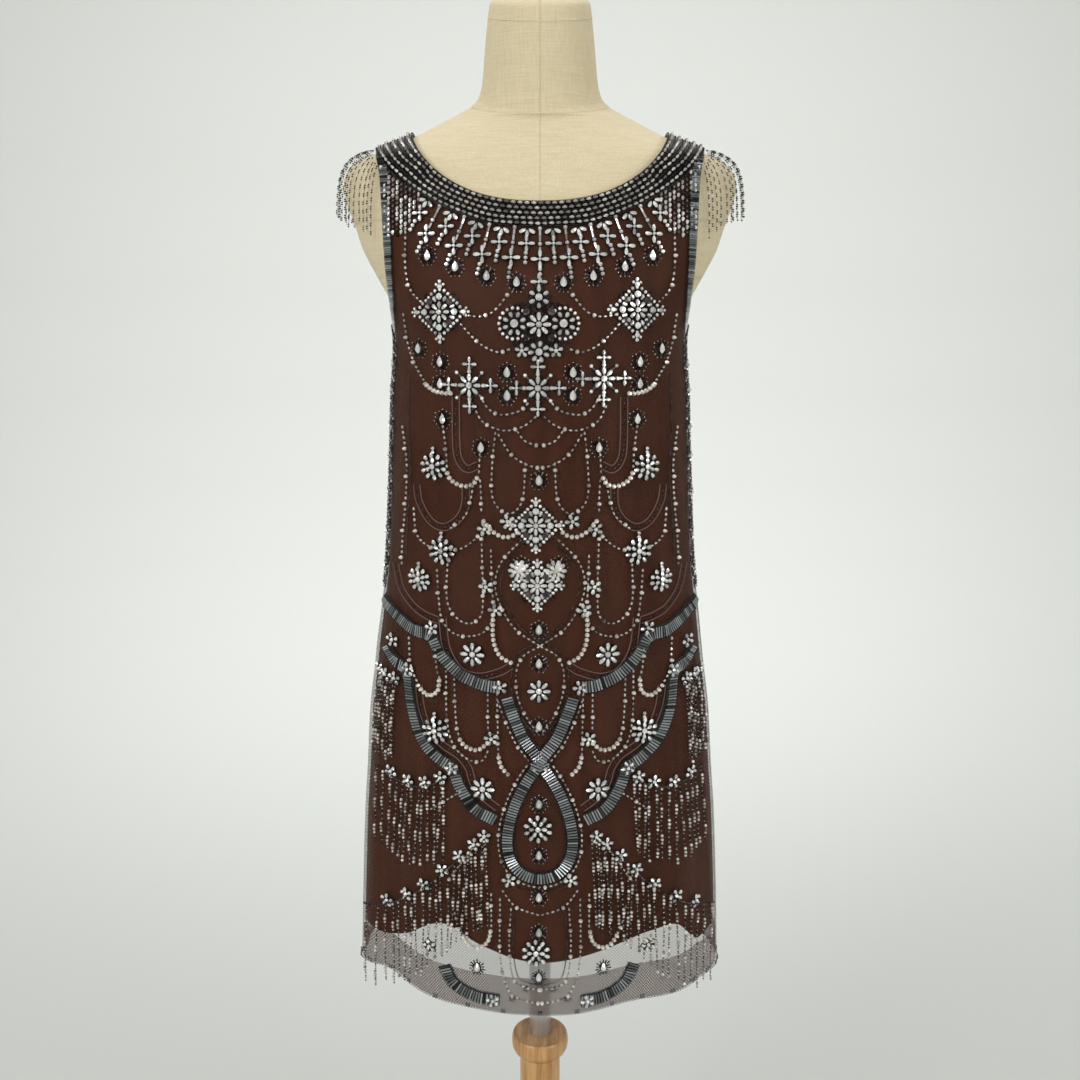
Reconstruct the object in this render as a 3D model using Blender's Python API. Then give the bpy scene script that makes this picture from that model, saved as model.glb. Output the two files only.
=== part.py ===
"""Beaded mini dress on a limbless linen dress form, with a chrome pole and a turned wooden stand.

Metres, +Z up, the dress front faces -Y, the form's axis is x = y = 0 and the base rests on z = 0.
Every layer of cloth is a closed shell worked out from one surface, the dress surface, which is a stack of
rounded sections. A place on a panel is given by u, from -1 at one side seam to 1 at the other, and by
the height z.
"""
import math

import bmesh
import bpy
import numpy as np

FRONT, BACK = -1, 1

# Sections of the dress and the form, from the bottom up: half width, depth to the front and to the
# back, and how far back the middle lies.
COLUMNS = {"z": 0, "half": 1, "front": 2, "back": 3, "centre": 4}
SHOULDER_SECTIONS = (
    (1.254, 0.1600, 0.1270, 0.1060, 0.004),
    (1.275, 0.1715, 0.1230, 0.1065, 0.006),
    (1.305, 0.1870, 0.1140, 0.1050, 0.008),
    (1.330, 0.1950, 0.1060, 0.1010, 0.009),
    (1.354, 0.2035, 0.0970, 0.0950, 0.010),
    (1.368, 0.2055, 0.0910, 0.0900, 0.010),
    (1.378, 0.2030, 0.0870, 0.0860, 0.010),
    (1.386, 0.1970, 0.0835, 0.0830, 0.010),
    (1.394, 0.1840, 0.0800, 0.0800, 0.010),
    (1.402, 0.1650, 0.0755, 0.0770, 0.010),
    (1.410, 0.1440, 0.0710, 0.0745, 0.010),
    (1.416, 0.1300, 0.0675, 0.0725, 0.010),
    (1.430, 0.1020, 0.0575, 0.0680, 0.009),
)
DRESS_SECTIONS = (
    (0.480, 0.2010, 0.1525, 0.1490, 0.000),
    (0.573, 0.1980, 0.1500, 0.1450, 0.000),
    (0.622, 0.1960, 0.1485, 0.1425, 0.000),
    (0.696, 0.1920, 0.1455, 0.1385, 0.000),
    (0.744, 0.1880, 0.1435, 0.1355, 0.000),
    (0.815, 0.1830, 0.1405, 0.1305, 0.000),
    (0.861, 0.1770, 0.1385, 0.1270, 0.000),
    (0.930, 0.1690, 0.1360, 0.1215, 0.000),
    (0.975, 0.1630, 0.1345, 0.1175, 0.000),
    (1.041, 0.1590, 0.1330, 0.1125, 0.001),
    (1.106, 0.1560, 0.1320, 0.1090, 0.002),
    (1.149, 0.1545, 0.1315, 0.1075, 0.003),
    (1.212, 0.1505, 0.1310, 0.1060, 0.003),
) + SHOULDER_SECTIONS
FORM_SECTIONS = (
    (0.7200, 0.1300, 0.0800, 0.0880, 0.000),
    (0.7240, 0.1400, 0.0890, 0.0970, 0.000),
    (0.7350, 0.1470, 0.0940, 0.1020, 0.000),
    (0.7900, 0.1580, 0.1020, 0.1140, 0.000),
    (0.8600, 0.1640, 0.1060, 0.1200, 0.000),
    (0.9300, 0.1500, 0.0990, 0.1060, 0.000),
    (0.9900, 0.1300, 0.0900, 0.0900, 0.000),
    (1.0400, 0.1190, 0.0870, 0.0820, 0.000),
    (1.0900, 0.1220, 0.0940, 0.0860, 0.001),
    (1.1500, 0.1350, 0.1120, 0.0940, 0.002),
    (1.2120, 0.1475, 0.1270, 0.1020, 0.003),
) + SHOULDER_SECTIONS
ROUNDNESS = 2.3
FORM_INSET = 0.0026
FORM_RIDGE_DROP = 0.0004

# The form's neck: rings that lean forward, from its base seam to the cap.
NECK_RINGS = (
    # height, half width, half depth, middle y, lean in degrees
    (1.4400, 0.0820, 0.0590, 0.009, 9.0),
    (1.4470, 0.0690, 0.0560, 0.008, 16.0),
    (1.4540, 0.0630, 0.0545, 0.007, 19.0),
    (1.4700, 0.0585, 0.0535, 0.005, 19.0),
    (1.4950, 0.0560, 0.0525, 0.002, 18.0),
    (1.5250, 0.0525, 0.0510, -0.002, 17.0),
    (1.5420, 0.0500, 0.0490, -0.004, 16.0),
    (1.5470, 0.0460, 0.0450, -0.005, 16.0),
)
FORM_SEGMENTS = 28

# Where the dress is cut: armhole edge, neckline and hems.
UNDERARM_Z = 1.212
WIDEST_Z = 1.368
ARMHOLE = ((1.212, 0.1505), (1.268, 0.152), (1.324, 0.154), (1.370, 0.157), (1.402, 0.166))
NECK_CORNER_X = 0.129
NECK_LOW_Z = 1.343
NECK_RISE = 0.076
NET_HEM = {
    FRONT: ((-1, 0.516), (-0.6, 0.541), (-0.3, 0.531), (0, 0.526), (0.3, 0.530), (0.6, 0.527), (1, 0.508)),
    BACK: ((-1, 0.516), (-0.6, 0.524), (-0.2, 0.519), (0.2, 0.522), (0.6, 0.517), (1, 0.508)),
}
LINING_HEM = {
    FRONT: ((-1, 0.580), (-0.68, 0.577), (-0.54, 0.588), (-0.34, 0.617), (-0.2, 0.599), (0, 0.583),
            (0.2, 0.592), (0.49, 0.606), (0.68, 0.570), (1, 0.574)),
    BACK: ((-1, 0.580), (-0.5, 0.604), (-0.1, 0.585), (0.3, 0.590), (0.6, 0.608), (1, 0.574)),
}
HEM_BAND_DEEP = 0.040

# Layers over the dress surface: how far out each shell's inner and outer faces lie. The net's layers
# stand off the lining by NET_SAG more where the skirt hangs free.
LINING = (-0.0006, 0.0004)
NET = (0.0010, 0.0020)
NET_SAG = 0.0016
HEM_BAND = (-0.0014, -0.0004)
ON_NET = 0.0007
ON_BEND = 0.0012
BAND_THICK = 0.0018
TRIM_THICK = 0.0016
RIBBON_THICK = 0.0016
MEDALLION_THICK = 0.0026

# Columns of a panel in u and rows above and below the underarm.
HALF_COLUMNS = (0.0, 0.13, 0.25, 0.37, 0.48, 0.59, 0.69, 0.79, 0.90, 1.0)
STRAP_U = 0.59
STRAP_ROWS = 5
CHEST_ROWS = 7
NET_ROWS = 12
LINING_ROWS = 9
SEAM_GAP = 0.0004

# Soft hanging folds: waves round the whole skirt, size and start of each.
FOLDS = ((9, 0.45, 0.4), (5, 0.35, 2.1), (13, 0.20, 4.4))
FOLD_DEEP = 0.0062
FOLDS_START_Z = 1.08
FOLDS_FULL_Z = 0.55

# Stand
POLE_RADIUS = 0.0125
POLE_TOP_Z = 0.7197
COLUMN_PROFILE = (
    # radius, height
    (0.0400, 0.0263), (0.0415, 0.0330), (0.0330, 0.0430), (0.0275, 0.0580), (0.0258, 0.0900),
    (0.0242, 0.2400), (0.0234, 0.3760), (0.0270, 0.3805), (0.0322, 0.3865), (0.0331, 0.3925),
    (0.0329, 0.3990), (0.0315, 0.4040),
)
BASE_PROFILE = ((0.1600, 0.0), (0.1650, 0.0050), (0.1650, 0.0190), (0.1590, 0.0260))
TURNED_SEGMENTS = 24
TOUCH_GAP = 0.0003

COLOURS = {
    # slot: red, green, blue, roughness, metallic
    "net_mesh": (0.155, 0.090, 0.078, 0.80, 0.0),
    "lining_satin": (0.068, 0.030, 0.020, 0.55, 0.0),
    "bead_band": (0.060, 0.052, 0.056, 0.35, 0.2),
    "bugle_bead": (0.110, 0.130, 0.140, 0.25, 0.4),
    "crystal": (0.560, 0.580, 0.610, 0.15, 0.2),
    "fringe_bead": (0.090, 0.075, 0.080, 0.30, 0.2),
    "form_linen": (0.672, 0.578, 0.376, 0.90, 0.0),
    "pole_chrome": (0.620, 0.630, 0.640, 0.12, 1.0),
    "stand_wood": (0.578, 0.314, 0.130, 0.50, 0.0),
}


def clear_scene():
    """Removes whatever the file holds."""
    for thing in list(bpy.data.objects):
        bpy.data.objects.remove(thing, do_unlink=True)


def slot_material(slot):
    """The slot's material, made once: a Principled BSDF with the piece's colour."""
    known = bpy.data.materials.get(slot)
    if known:
        return known
    material = bpy.data.materials.new(slot)
    material.use_nodes = True
    shader = material.node_tree.nodes["Principled BSDF"]
    red, green, blue, roughness, metallic = COLOURS[slot]
    shader.inputs["Base Color"].default_value = (red, green, blue, 1)
    shader.inputs["Roughness"].default_value = roughness
    shader.inputs["Metallic"].default_value = metallic
    material.diffuse_color = (red, green, blue, 1)
    return material


def add_body(name, slot, points, faces, smooth_angle=40):
    """Adds one closed body with its faces turned outward."""
    mesh = bpy.data.meshes.new(name)
    mesh.from_pydata([tuple(p) for p in points], [], [tuple(f) for f in faces])
    work = bmesh.new()
    work.from_mesh(mesh)
    bmesh.ops.recalc_face_normals(work, faces=work.faces)
    work.to_mesh(mesh)
    work.free()
    mesh.shade_smooth()
    mesh.set_sharp_from_angle(angle=math.radians(smooth_angle))
    mesh.materials.append(slot_material(slot))
    body = bpy.data.objects.new(name, mesh)
    bpy.context.scene.collection.objects.link(body)
    return body


def smooth_table(rows, column, at):
    """A smooth curve through a table's column, without overshoot, read at heights or at u."""
    rows = np.array(rows, float)
    x, y = rows[:, 0], rows[:, column]
    step = np.diff(x)
    slope = np.diff(y) / step
    tangent = np.zeros(len(x))
    tangent[0], tangent[-1] = slope[0], slope[-1]
    same_way = slope[1:] * slope[:-1] > 0
    left, right = 2 * step[1:] + step[:-1], step[1:] + 2 * step[:-1]
    with np.errstate(divide="ignore", invalid="ignore"):
        mean = (left + right) / (left / slope[:-1] + right / slope[1:])
    tangent[1:-1] = np.where(same_way, mean, 0)
    at = np.clip(at, x[0], x[-1])
    k = np.clip(np.searchsorted(x, at) - 1, 0, len(x) - 2)
    t = (at - x[k]) / step[k]
    start = (1 + 2 * t) * (1 - t) ** 2 * y[k] + t * (1 - t) ** 2 * step[k] * tangent[k]
    end = t * t * (3 - 2 * t) * y[k + 1] + t * t * (t - 1) * step[k] * tangent[k + 1]
    return start + end


def section(rows, z, side):
    """Half width, depth and middle of the section at height z, on the front or back side."""
    depth = "front" if side == FRONT else "back"
    return tuple(smooth_table(rows, COLUMNS[name], z) for name in ("half", depth, "centre"))


def ridge_height(x):
    """Height of the shoulder ridge at a distance x from the middle."""
    z = np.linspace(WIDEST_Z, SHOULDER_SECTIONS[-1][0], 400)
    half = smooth_table(SHOULDER_SECTIONS, COLUMNS["half"], z)
    return np.interp(x, half[::-1], z[::-1])


def neckline_height(x):
    """Height of the neckline seen from the front, a scooped curve that ends steeply on the shoulder."""
    share = np.clip(np.abs(x) / NECK_CORNER_X, 0, 1)
    return NECK_LOW_Z + NECK_RISE * (1 - (1 - share ** 2.4) ** (2 / 3))


def neckline_x(z):
    """How far from the middle the neckline lies at height z, the other way round from neckline_height."""
    share = np.clip((z - NECK_LOW_Z) / NECK_RISE, 0, 1)
    return NECK_CORNER_X * (1 - (1 - share) ** 1.5) ** (1 / 2.4)


def edge_angle(z):
    """Angle round the section of the panel's edge: the side seam, or the armhole above it."""
    held = np.minimum(z, WIDEST_Z)
    half = smooth_table(DRESS_SECTIONS, COLUMNS["half"], held)
    edge = smooth_table(ARMHOLE, 1, held)
    angle = np.arcsin(np.clip(edge / half, 0, 1))
    return np.where(z <= UNDERARM_Z, math.pi / 2, angle)


def edge_x(z):
    """Half width of the panel at height z."""
    half = smooth_table(DRESS_SECTIONS, COLUMNS["half"], z)
    return np.where(z <= UNDERARM_Z, half, smooth_table(ARMHOLE, 1, z))


def chest_x(u, z):
    """The x of a place on a panel below the straps."""
    angle = edge_angle(z)
    return edge_x(z) * np.sin(u * angle) / np.sin(angle)


def strap_height():
    """Height where the strap begins: there its inner column meets the neckline."""
    low, high = NECK_LOW_Z, ARMHOLE[-1][0]
    for _ in range(40):
        middle = (low + high) / 2
        if neckline_height(chest_x(STRAP_U, middle)) > middle:
            low = middle
        else:
            high = middle
    return float(low)


STRAP_Z = strap_height()


def strap_share(u):
    """Share of the strap's width, from the neckline to the armhole, for a column."""
    inner, outer = chest_x(STRAP_U, STRAP_Z), chest_x(1.0, STRAP_Z)
    return (chest_x(np.abs(u), STRAP_Z) - inner) / (outer - inner)


def across(u, z):
    """The x of a place on a panel."""
    inner = neckline_x(z)
    strap = np.sign(u) * (inner + strap_share(u) * (edge_x(z) - inner))
    return np.where((z > STRAP_Z) & (np.abs(u) >= STRAP_U), strap, chest_x(u, z))


def place_u(x, z):
    """The u of a place on a panel that lies at x, the other way round from across."""
    angle = edge_angle(z)
    chest = np.arcsin(np.clip(x * np.sin(angle) / edge_x(z), -1, 1)) / angle
    fine = np.linspace(STRAP_U, 1, 60)
    inner = neckline_x(z)
    share = (np.abs(x) - inner) / (edge_x(z) - inner)
    strap = np.sign(x) * np.interp(share, strap_share(fine), fine)
    return np.where((z > STRAP_Z) & (np.abs(x) > inner - 0.001), strap, chest)


def fold_push(u, z, side):
    """How far the soft folds push the skirt out at a place."""
    turn = u * math.pi / 2
    turn = turn if side == FRONT else math.pi - turn
    wave = sum(size * np.sin(count * turn + start) for count, size, start in FOLDS)
    fall = np.clip((FOLDS_START_Z - z) / (FOLDS_START_Z - FOLDS_FULL_Z), 0, 1.1)
    return FOLD_DEEP * fall ** 1.6 * wave * (0.55 + 0.45 * np.sin(turn) ** 2)


def dress_surface(u, z, side):
    """Points of the dress surface."""
    x = across(u, z)
    half, depth, centre = section(DRESS_SECTIONS, z, side)
    share = np.clip(np.abs(x) / half, 0, 1)
    y = centre + side * depth * np.sqrt(1 - share ** ROUNDNESS)
    out = np.stack([x / half ** 2, (y - centre) / depth ** 2], -1)
    out /= np.linalg.norm(out, axis=-1, keepdims=True)
    push = fold_push(u, z, side)
    return np.stack([x + push * out[..., 0], y + push * out[..., 1], z + 0 * x], -1)


def out_direction(u, z, side, points):
    """Unit directions out of the dress surface at its points."""
    small = 1e-4
    x, y = points[..., 0], points[..., 1]
    half, depth, centre = section(DRESS_SECTIONS, z, side)
    half_up, depth_up, centre_up = section(DRESS_SECTIONS, z + small, side)
    share = np.clip(np.abs(x) / half, 0, 1)
    rise = (y - centre) / depth
    grow = ROUNDNESS * share ** ROUNDNESS * (half_up - half) / half
    grow += 2 * rise ** 2 * (depth_up - depth) / depth + 2 * rise * (centre_up - centre) / depth
    smooth = np.stack([
        ROUNDNESS * share ** (ROUNDNESS - 1) * np.sign(x) / half, 2 * rise / depth, -grow / small,
    ], -1)
    # Below the underarm the folds turn the cloth, so two short steps over it give the direction.
    inward = np.where(u > 0, -small, small)
    here = dress_surface(u, z, side)
    along_u = (dress_surface(u + inward, z, side) - here) / inward[..., None]
    along_z = dress_surface(u, z + small, side) - here
    folded = np.cross(along_u, along_z) * -side
    out = np.where((z < UNDERARM_Z - small)[..., None], folded, smooth)
    return out / np.linalg.norm(out, axis=-1, keepdims=True)


def solve_height(u, limit, low, high):
    """Height in each column where the surface meets a limit that is given as a height for each x."""
    low, high = np.full(len(u), low), np.full(len(u), high)
    for _ in range(40):
        middle = (low + high) / 2
        above = middle > limit(np.abs(across(u, middle)))
        high = np.where(above, middle, high)
        low = np.where(above, low, middle)
    return low


def panel_columns():
    """The u of every column, left to right."""
    half = np.array(HALF_COLUMNS)
    return np.concatenate([-half[:0:-1], half])


def row_heights(columns, rows_below, hem, side):
    """Heights of the panel's points, a row for each column, from the upper edge down to the hem.

    The first rows are the straps'. Columns between the straps have none there: those rows stay at the
    neckline, and no cells are made of them.
    """
    on_strap = np.abs(columns) >= STRAP_U - 1e-9
    neck = solve_height(np.where(on_strap, 0, columns), neckline_height, 1.30, 1.40)
    start = np.where(on_strap, STRAP_Z, neck)
    ridge = solve_height(np.where(on_strap, columns, 1), ridge_height, STRAP_Z, 1.425)
    top = np.where(on_strap, ridge, neck)
    t = np.linspace(0, 1, STRAP_ROWS + 1)[:-1]
    strap = top[:, None] - (top - start)[:, None] * t ** 2
    t = np.linspace(0, 1, CHEST_ROWS + 1)
    chest = start[:, None] - (start - UNDERARM_Z)[:, None] * t
    bottom = smooth_table(hem[side], 1, columns)
    t = np.linspace(0, 1, rows_below + 1)[1:]
    lower = UNDERARM_Z - (UNDERARM_Z - bottom)[:, None] * t
    return np.concatenate([strap, chest, lower], 1)


def panel_cells(columns, rows):
    """The cells of a panel: all but those between the straps."""
    in_strap = np.abs(columns) >= STRAP_U - 1e-9
    both = in_strap[:-1] & in_strap[1:]
    return [(i, j) for i in range(len(columns) - 1) for j in range(rows - 1) if j >= STRAP_ROWS or both[i]]


def make_panel(rows_below, hem, side):
    """A panel's grid: its columns, heights, points and the directions out of the cloth."""
    columns = panel_columns()
    heights = row_heights(columns, rows_below, hem, side)
    u = np.repeat(columns[:, None], heights.shape[1], 1)
    points = dress_surface(u, heights, side)
    out = out_direction(u, heights, side, points)
    centre = smooth_table(DRESS_SECTIONS, COLUMNS["centre"], heights)
    from_seam = side * (points[..., 1] - centre)
    points[..., 1] = np.where(from_seam < SEAM_GAP / 2, centre + side * SEAM_GAP / 2, points[..., 1])
    out[..., 1] = np.where(from_seam < SEAM_GAP / 2, 0, out[..., 1])
    out /= np.linalg.norm(out, axis=-1, keepdims=True)
    cells = panel_cells(columns, heights.shape[1])
    return {"side": side, "u": columns, "z": heights, "points": points, "out": out, "cells": cells}


def sag(z):
    """How much further the net hangs from the lining at height z."""
    return NET_SAG * np.clip((1.20 - z) / 0.25, 0, 1)


def shell_grid(panel, inner, outer, loose):
    """Inner and outer points of a panel's shell."""
    more = sag(panel["z"])[..., None] if loose else 0
    lift = [panel["points"] + (distance + more) * panel["out"] for distance in (inner, outer)]
    return lift


def grid_shell(name, slot, inner, outer, cells=None):
    """A closed shell between two grids of points, over all cells or those listed."""
    across_count, down_count = inner.shape[:2]
    if cells is None:
        cells = [(i, j) for i in range(across_count - 1) for j in range(down_count - 1)]
    half = across_count * down_count
    points = np.concatenate([inner.reshape(-1, 3), outer.reshape(-1, 3)])
    faces, edges = [], {}
    for i, j in cells:
        ring = [i * down_count + j, (i + 1) * down_count + j]
        ring += [(i + 1) * down_count + j + 1, i * down_count + j + 1]
        a, b, c, d = ring
        mirrored = i >= (across_count - 1) / 2
        for one, two, three in ((a, b, c), (a, c, d)) if mirrored else ((a, b, d), (b, c, d)):
            faces += [(one, two, three), (three + half, two + half, one + half)]
        for one, other in zip(ring, ring[1:] + ring[:1]):
            if (other, one) in edges:
                edges.pop((other, one))
            else:
                edges[(one, other)] = True
    faces += [(one, other, other + half, one + half) for one, other in edges]
    used = sorted({corner for face in faces for corner in face})
    place = {corner: k for k, corner in enumerate(used)}
    faces = [tuple(place[corner] for corner in face) for face in faces]
    return add_body(name, slot, points[used], faces)


def on_net(net, u, z, distance):
    """Points over the net panel's outer face, read between its own points and moved out."""
    u, z = np.broadcast_arrays(np.asarray(u, float), np.asarray(z, float))
    columns, heights = net["u"], net["z"]
    i = np.clip(np.searchsorted(columns, u + 1e-9, side="right") - 1, 0, len(columns) - 2)
    i = np.where((u <= -STRAP_U + 1e-9) & (columns[i] > u - 1e-6), np.maximum(i - 1, 0), i)
    s = np.clip((u - columns[i]) / (columns[i + 1] - columns[i]), 0, 1)
    rows = heights[i] * (1 - s[..., None]) + heights[i + 1] * s[..., None]
    between_straps = (np.abs(columns[i]) < STRAP_U - 1e-9) | (np.abs(columns[i + 1]) < STRAP_U - 1e-9)
    first = np.where(between_straps, STRAP_ROWS, 0)
    j = np.clip((rows > z[..., None]).sum(-1) - 1, first, heights.shape[1] - 2)
    upper = np.take_along_axis(rows, j[..., None], -1)[..., 0]
    lower = np.take_along_axis(rows, j[..., None] + 1, -1)[..., 0]
    t = np.clip((upper - z) / (upper - lower), 0, 1)
    s, t = s[..., None], t[..., None]

    def blend(grid):
        near = grid[i, j] * (1 - s) + grid[i + 1, j] * s
        far = grid[i, j + 1] * (1 - s) + grid[i + 1, j + 1] * s
        return near * (1 - t) + far * t

    out = blend(net["out"])
    out /= np.linalg.norm(out, axis=-1, keepdims=True)
    face = blend(net["points"] + (NET[1] + sag(net["z"]))[..., None] * net["out"])
    return face + distance * out


def steps_on_net(net, u, z):
    """How far a small step in u and in z goes in space, for measuring widths on the net."""
    small = 0.002
    here = on_net(net, u, z, 0)
    inward = np.where(u > 0, -small, small)
    along_u = (on_net(net, u + inward, z, 0) - here) / inward[..., None]
    along_z = (on_net(net, u, z - small, 0) - here) / -small
    return along_u, along_z


def even_path(net, places, count):
    """A smooth line through a table of places (x, z), cut into even steps; returns its u and z."""
    places = np.array(places, float)
    run = np.concatenate([[0], np.cumsum(np.linalg.norm(np.diff(places, axis=0), axis=1))])
    table = np.column_stack([run, places])
    fine = np.linspace(0, run[-1], 200)
    x, z = smooth_table(table, 1, fine), smooth_table(table, 2, fine)
    points = on_net(net, place_u(x, z), z, 0)
    length = np.concatenate([[0], np.cumsum(np.linalg.norm(np.diff(points, axis=0), axis=1))])
    even = np.interp(np.linspace(0, length[-1], count), length, fine)
    x, z = smooth_table(table, 1, even), smooth_table(table, 2, even)
    return place_u(x, z), z


def path_sides(net, u, z, width):
    """The u and z of both edges of a strip of a width along a line on the net."""
    line = on_net(net, u, z, 0)
    ahead = np.gradient(line, axis=0)
    along_u, along_z = steps_on_net(net, u, z)
    out = np.cross(along_u, along_z)
    sideways = np.cross(out, ahead)
    sideways /= np.linalg.norm(sideways, axis=-1, keepdims=True)
    # Solve sideways = du * along_u + dz * along_z in the cloth's plane.
    uu = (along_u * along_u).sum(-1)
    zz = (along_z * along_z).sum(-1)
    uz = (along_u * along_z).sum(-1)
    su = (sideways * along_u).sum(-1)
    sz = (sideways * along_z).sum(-1)
    solid = uu * zz - uz * uz
    du = (su * zz - sz * uz) / solid
    dz = (sz * uu - su * uz) / solid
    half = width / 2
    return (u - du * half, z - dz * half), (u + du * half, z + dz * half)


def strip_on_net(name, slot, net, one_edge, other_edge, thickness, lift=ON_NET):
    """A closed strip that lies on the net between two edges given as (u, z)."""
    edges = [one_edge, other_edge]
    inner = np.stack([on_net(net, u, z, lift) for u, z in edges], 1)
    outer = np.stack([on_net(net, u, z, lift + thickness) for u, z in edges], 1)
    return grid_shell(name, slot, inner, outer)


# Neck band: its lower edge, seen from the front.
BAND_LOWER = (
    # x, z
    (0.0, 1.319), (0.0425, 1.3215), (0.067, 1.3285), (0.092, 1.339), (0.1075, 1.348),
    (0.127, 1.360), (0.143, 1.373), (0.159, 1.391), (0.1655, 1.4021),
)
BAND_HALF_STEPS = 16
BAND_CROWDING = 1.3
BAND_ACROSS = 3


def band_edges():
    """The band's inner and outer edges as (u, z) from the middle of the neckline to the ridge."""
    neck_u = np.linspace(0, STRAP_U, 60)
    neck_z = solve_height(np.minimum(neck_u, STRAP_U - 1e-6), neckline_height, 1.30, 1.40)
    ridge = solve_height(np.array([STRAP_U]), ridge_height, STRAP_Z, 1.425)[0]
    t = np.linspace(0, 1, 60)[1:]
    strap_z = ridge - (ridge - STRAP_Z) * (1 - t) ** 2
    inner = np.concatenate([neck_u, np.full(59, STRAP_U)]), np.concatenate([neck_z, strap_z])
    run = np.concatenate([[0], np.cumsum(np.hypot(*np.diff(np.array(BAND_LOWER), axis=0).T))])
    table = np.column_stack([run, BAND_LOWER])
    fine = run[-1] * (1 - (1 - np.linspace(0, 1, 120)) ** 1.5)
    outer_x, outer_z = smooth_table(table, 1, fine), smooth_table(table, 2, fine)
    outer = place_u(outer_x, outer_z), outer_z
    return inner, outer


def neck_band(net, name):
    """The beaded band along the neckline and over the straps, ending on the shoulder ridge."""
    step = np.linspace(0, 1, BAND_HALF_STEPS + 1)
    step = 1 - (1 - step) ** BAND_CROWDING
    lines = []
    for u, z in band_edges():
        points = on_net(net, u, z, 0)
        length = np.concatenate([[0], np.cumsum(np.linalg.norm(np.diff(points, axis=0), axis=1))])
        even = step * length[-1]
        half_u, half_z = np.interp(even, length, u), np.interp(even, length, z)
        lines.append((np.concatenate([-half_u[:0:-1], half_u]), np.concatenate([half_z[:0:-1], half_z])))
    shares = np.linspace(0, 1, BAND_ACROSS + 1)
    inner, outer = (
        np.stack([
            on_net(net, *((1 - share) * one + share * other for one, other in zip(*lines)), lift)
            for share in shares
        ], 1)
        for lift in (ON_BEND, ON_BEND + BAND_THICK)
    )
    return grid_shell(name, "bead_band", inner, outer)


TRIM_WIDE = 0.010
TRIM_TOP_Z = 1.372
TRIM_LOW_Z = 0.950
TRIM_LIFT = 0.0009


def armhole_trim(net, name, hand):
    """The beaded edge along the armhole and down the side seam."""
    rows = net["z"][0 if hand < 0 else -1]
    between = rows[(rows < TRIM_TOP_Z - 0.004) & (rows > TRIM_LOW_Z + 0.004)]
    z = np.concatenate([[TRIM_TOP_Z], between, [TRIM_LOW_Z]])
    u = np.full(len(z), hand * 1.0)
    along_u, _ = steps_on_net(net, u, z)
    wide = TRIM_WIDE / np.linalg.norm(along_u, axis=-1)
    return strip_on_net(name, "bead_band", net, (u, z), (u - hand * wide, z), TRIM_THICK, TRIM_LIFT)


# Bugle bead ribbons on one half of a panel, as places (x, z) along their middle lines. The other half
# mirrors them.
RIBBON_WIDE = 0.0125
RIBBONS = {
    "upper_scallop": (
        (0.162, 0.942), (0.147, 0.934), (0.127, 0.924), (0.107, 0.9205), (0.096, 0.903),
        (0.0775, 0.886), (0.0565, 0.8775), (0.040, 0.8755),
    ),
    "lower_scallop": (
        (0.1580, 0.8950), (0.1480, 0.8850), (0.1345, 0.8775), (0.1300, 0.8480), (0.1210, 0.8185),
        (0.1050, 0.7995), (0.0875, 0.7875), (0.0795, 0.7690), (0.0660, 0.7490), (0.0455, 0.7380),
    ),
    "centre_arm": ((0.0325, 0.8655), (0.027, 0.849), (0.0170, 0.8250), (0.0072, 0.8110)),
    "hem_arc": ((0.098, 0.573), (0.088, 0.555), (0.066, 0.5445), (0.041, 0.5420)),
}
RIBBON_LIFT = {"upper_scallop": 0.0012, "lower_scallop": 0.0015, "centre_arm": 0.0007, "hem_arc": 0.0010}
RIBBON_STEPS = {"upper_scallop": 14, "lower_scallop": 17, "centre_arm": 5, "hem_arc": 6}
TEARDROP_TOP_Z = 0.7960
TEARDROP_LOW_Z = 0.6765
TEARDROP_HALF = 0.0370
TEARDROP_STEPS = 22


def teardrop_line():
    """Places (x, z) of the open teardrop under the crossing, from its left tip round to its right."""
    turn = np.linspace(0.13, 1.0, TEARDROP_STEPS // 2 + 1)
    deep = TEARDROP_TOP_Z - TEARDROP_LOW_Z
    x = TEARDROP_HALF * np.sin(math.pi * turn ** 1.15) * turn ** 0.45 * 1.12
    z = TEARDROP_TOP_Z - deep * (1 - np.cos(math.pi * turn)) / 2
    left = list(zip(-x, z))
    right = list(zip(x[-2::-1], z[-2::-1]))
    return left + right


def add_ribbons(net, place):
    """All bugle bead ribbons of one panel."""
    for shape, half in RIBBONS.items():
        for hand, hand_name in ((-1, "left"), (1, "right")):
            places = [(hand * x, z) for x, z in half]
            u, z = even_path(net, places, RIBBON_STEPS[shape] + 1)
            edges = path_sides(net, u, z, RIBBON_WIDE)
            name = f"ribbon_{shape}_{place}_{hand_name}"
            strip_on_net(name, "bugle_bead", net, *edges, RIBBON_THICK, RIBBON_LIFT[shape])
    u, z = even_path(net, teardrop_line(), TEARDROP_STEPS + 1)
    edges = path_sides(net, u, z, RIBBON_WIDE * 0.9)
    strip_on_net(f"ribbon_teardrop_{place}", "bugle_bead", net, *edges, RIBBON_THICK)


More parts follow.
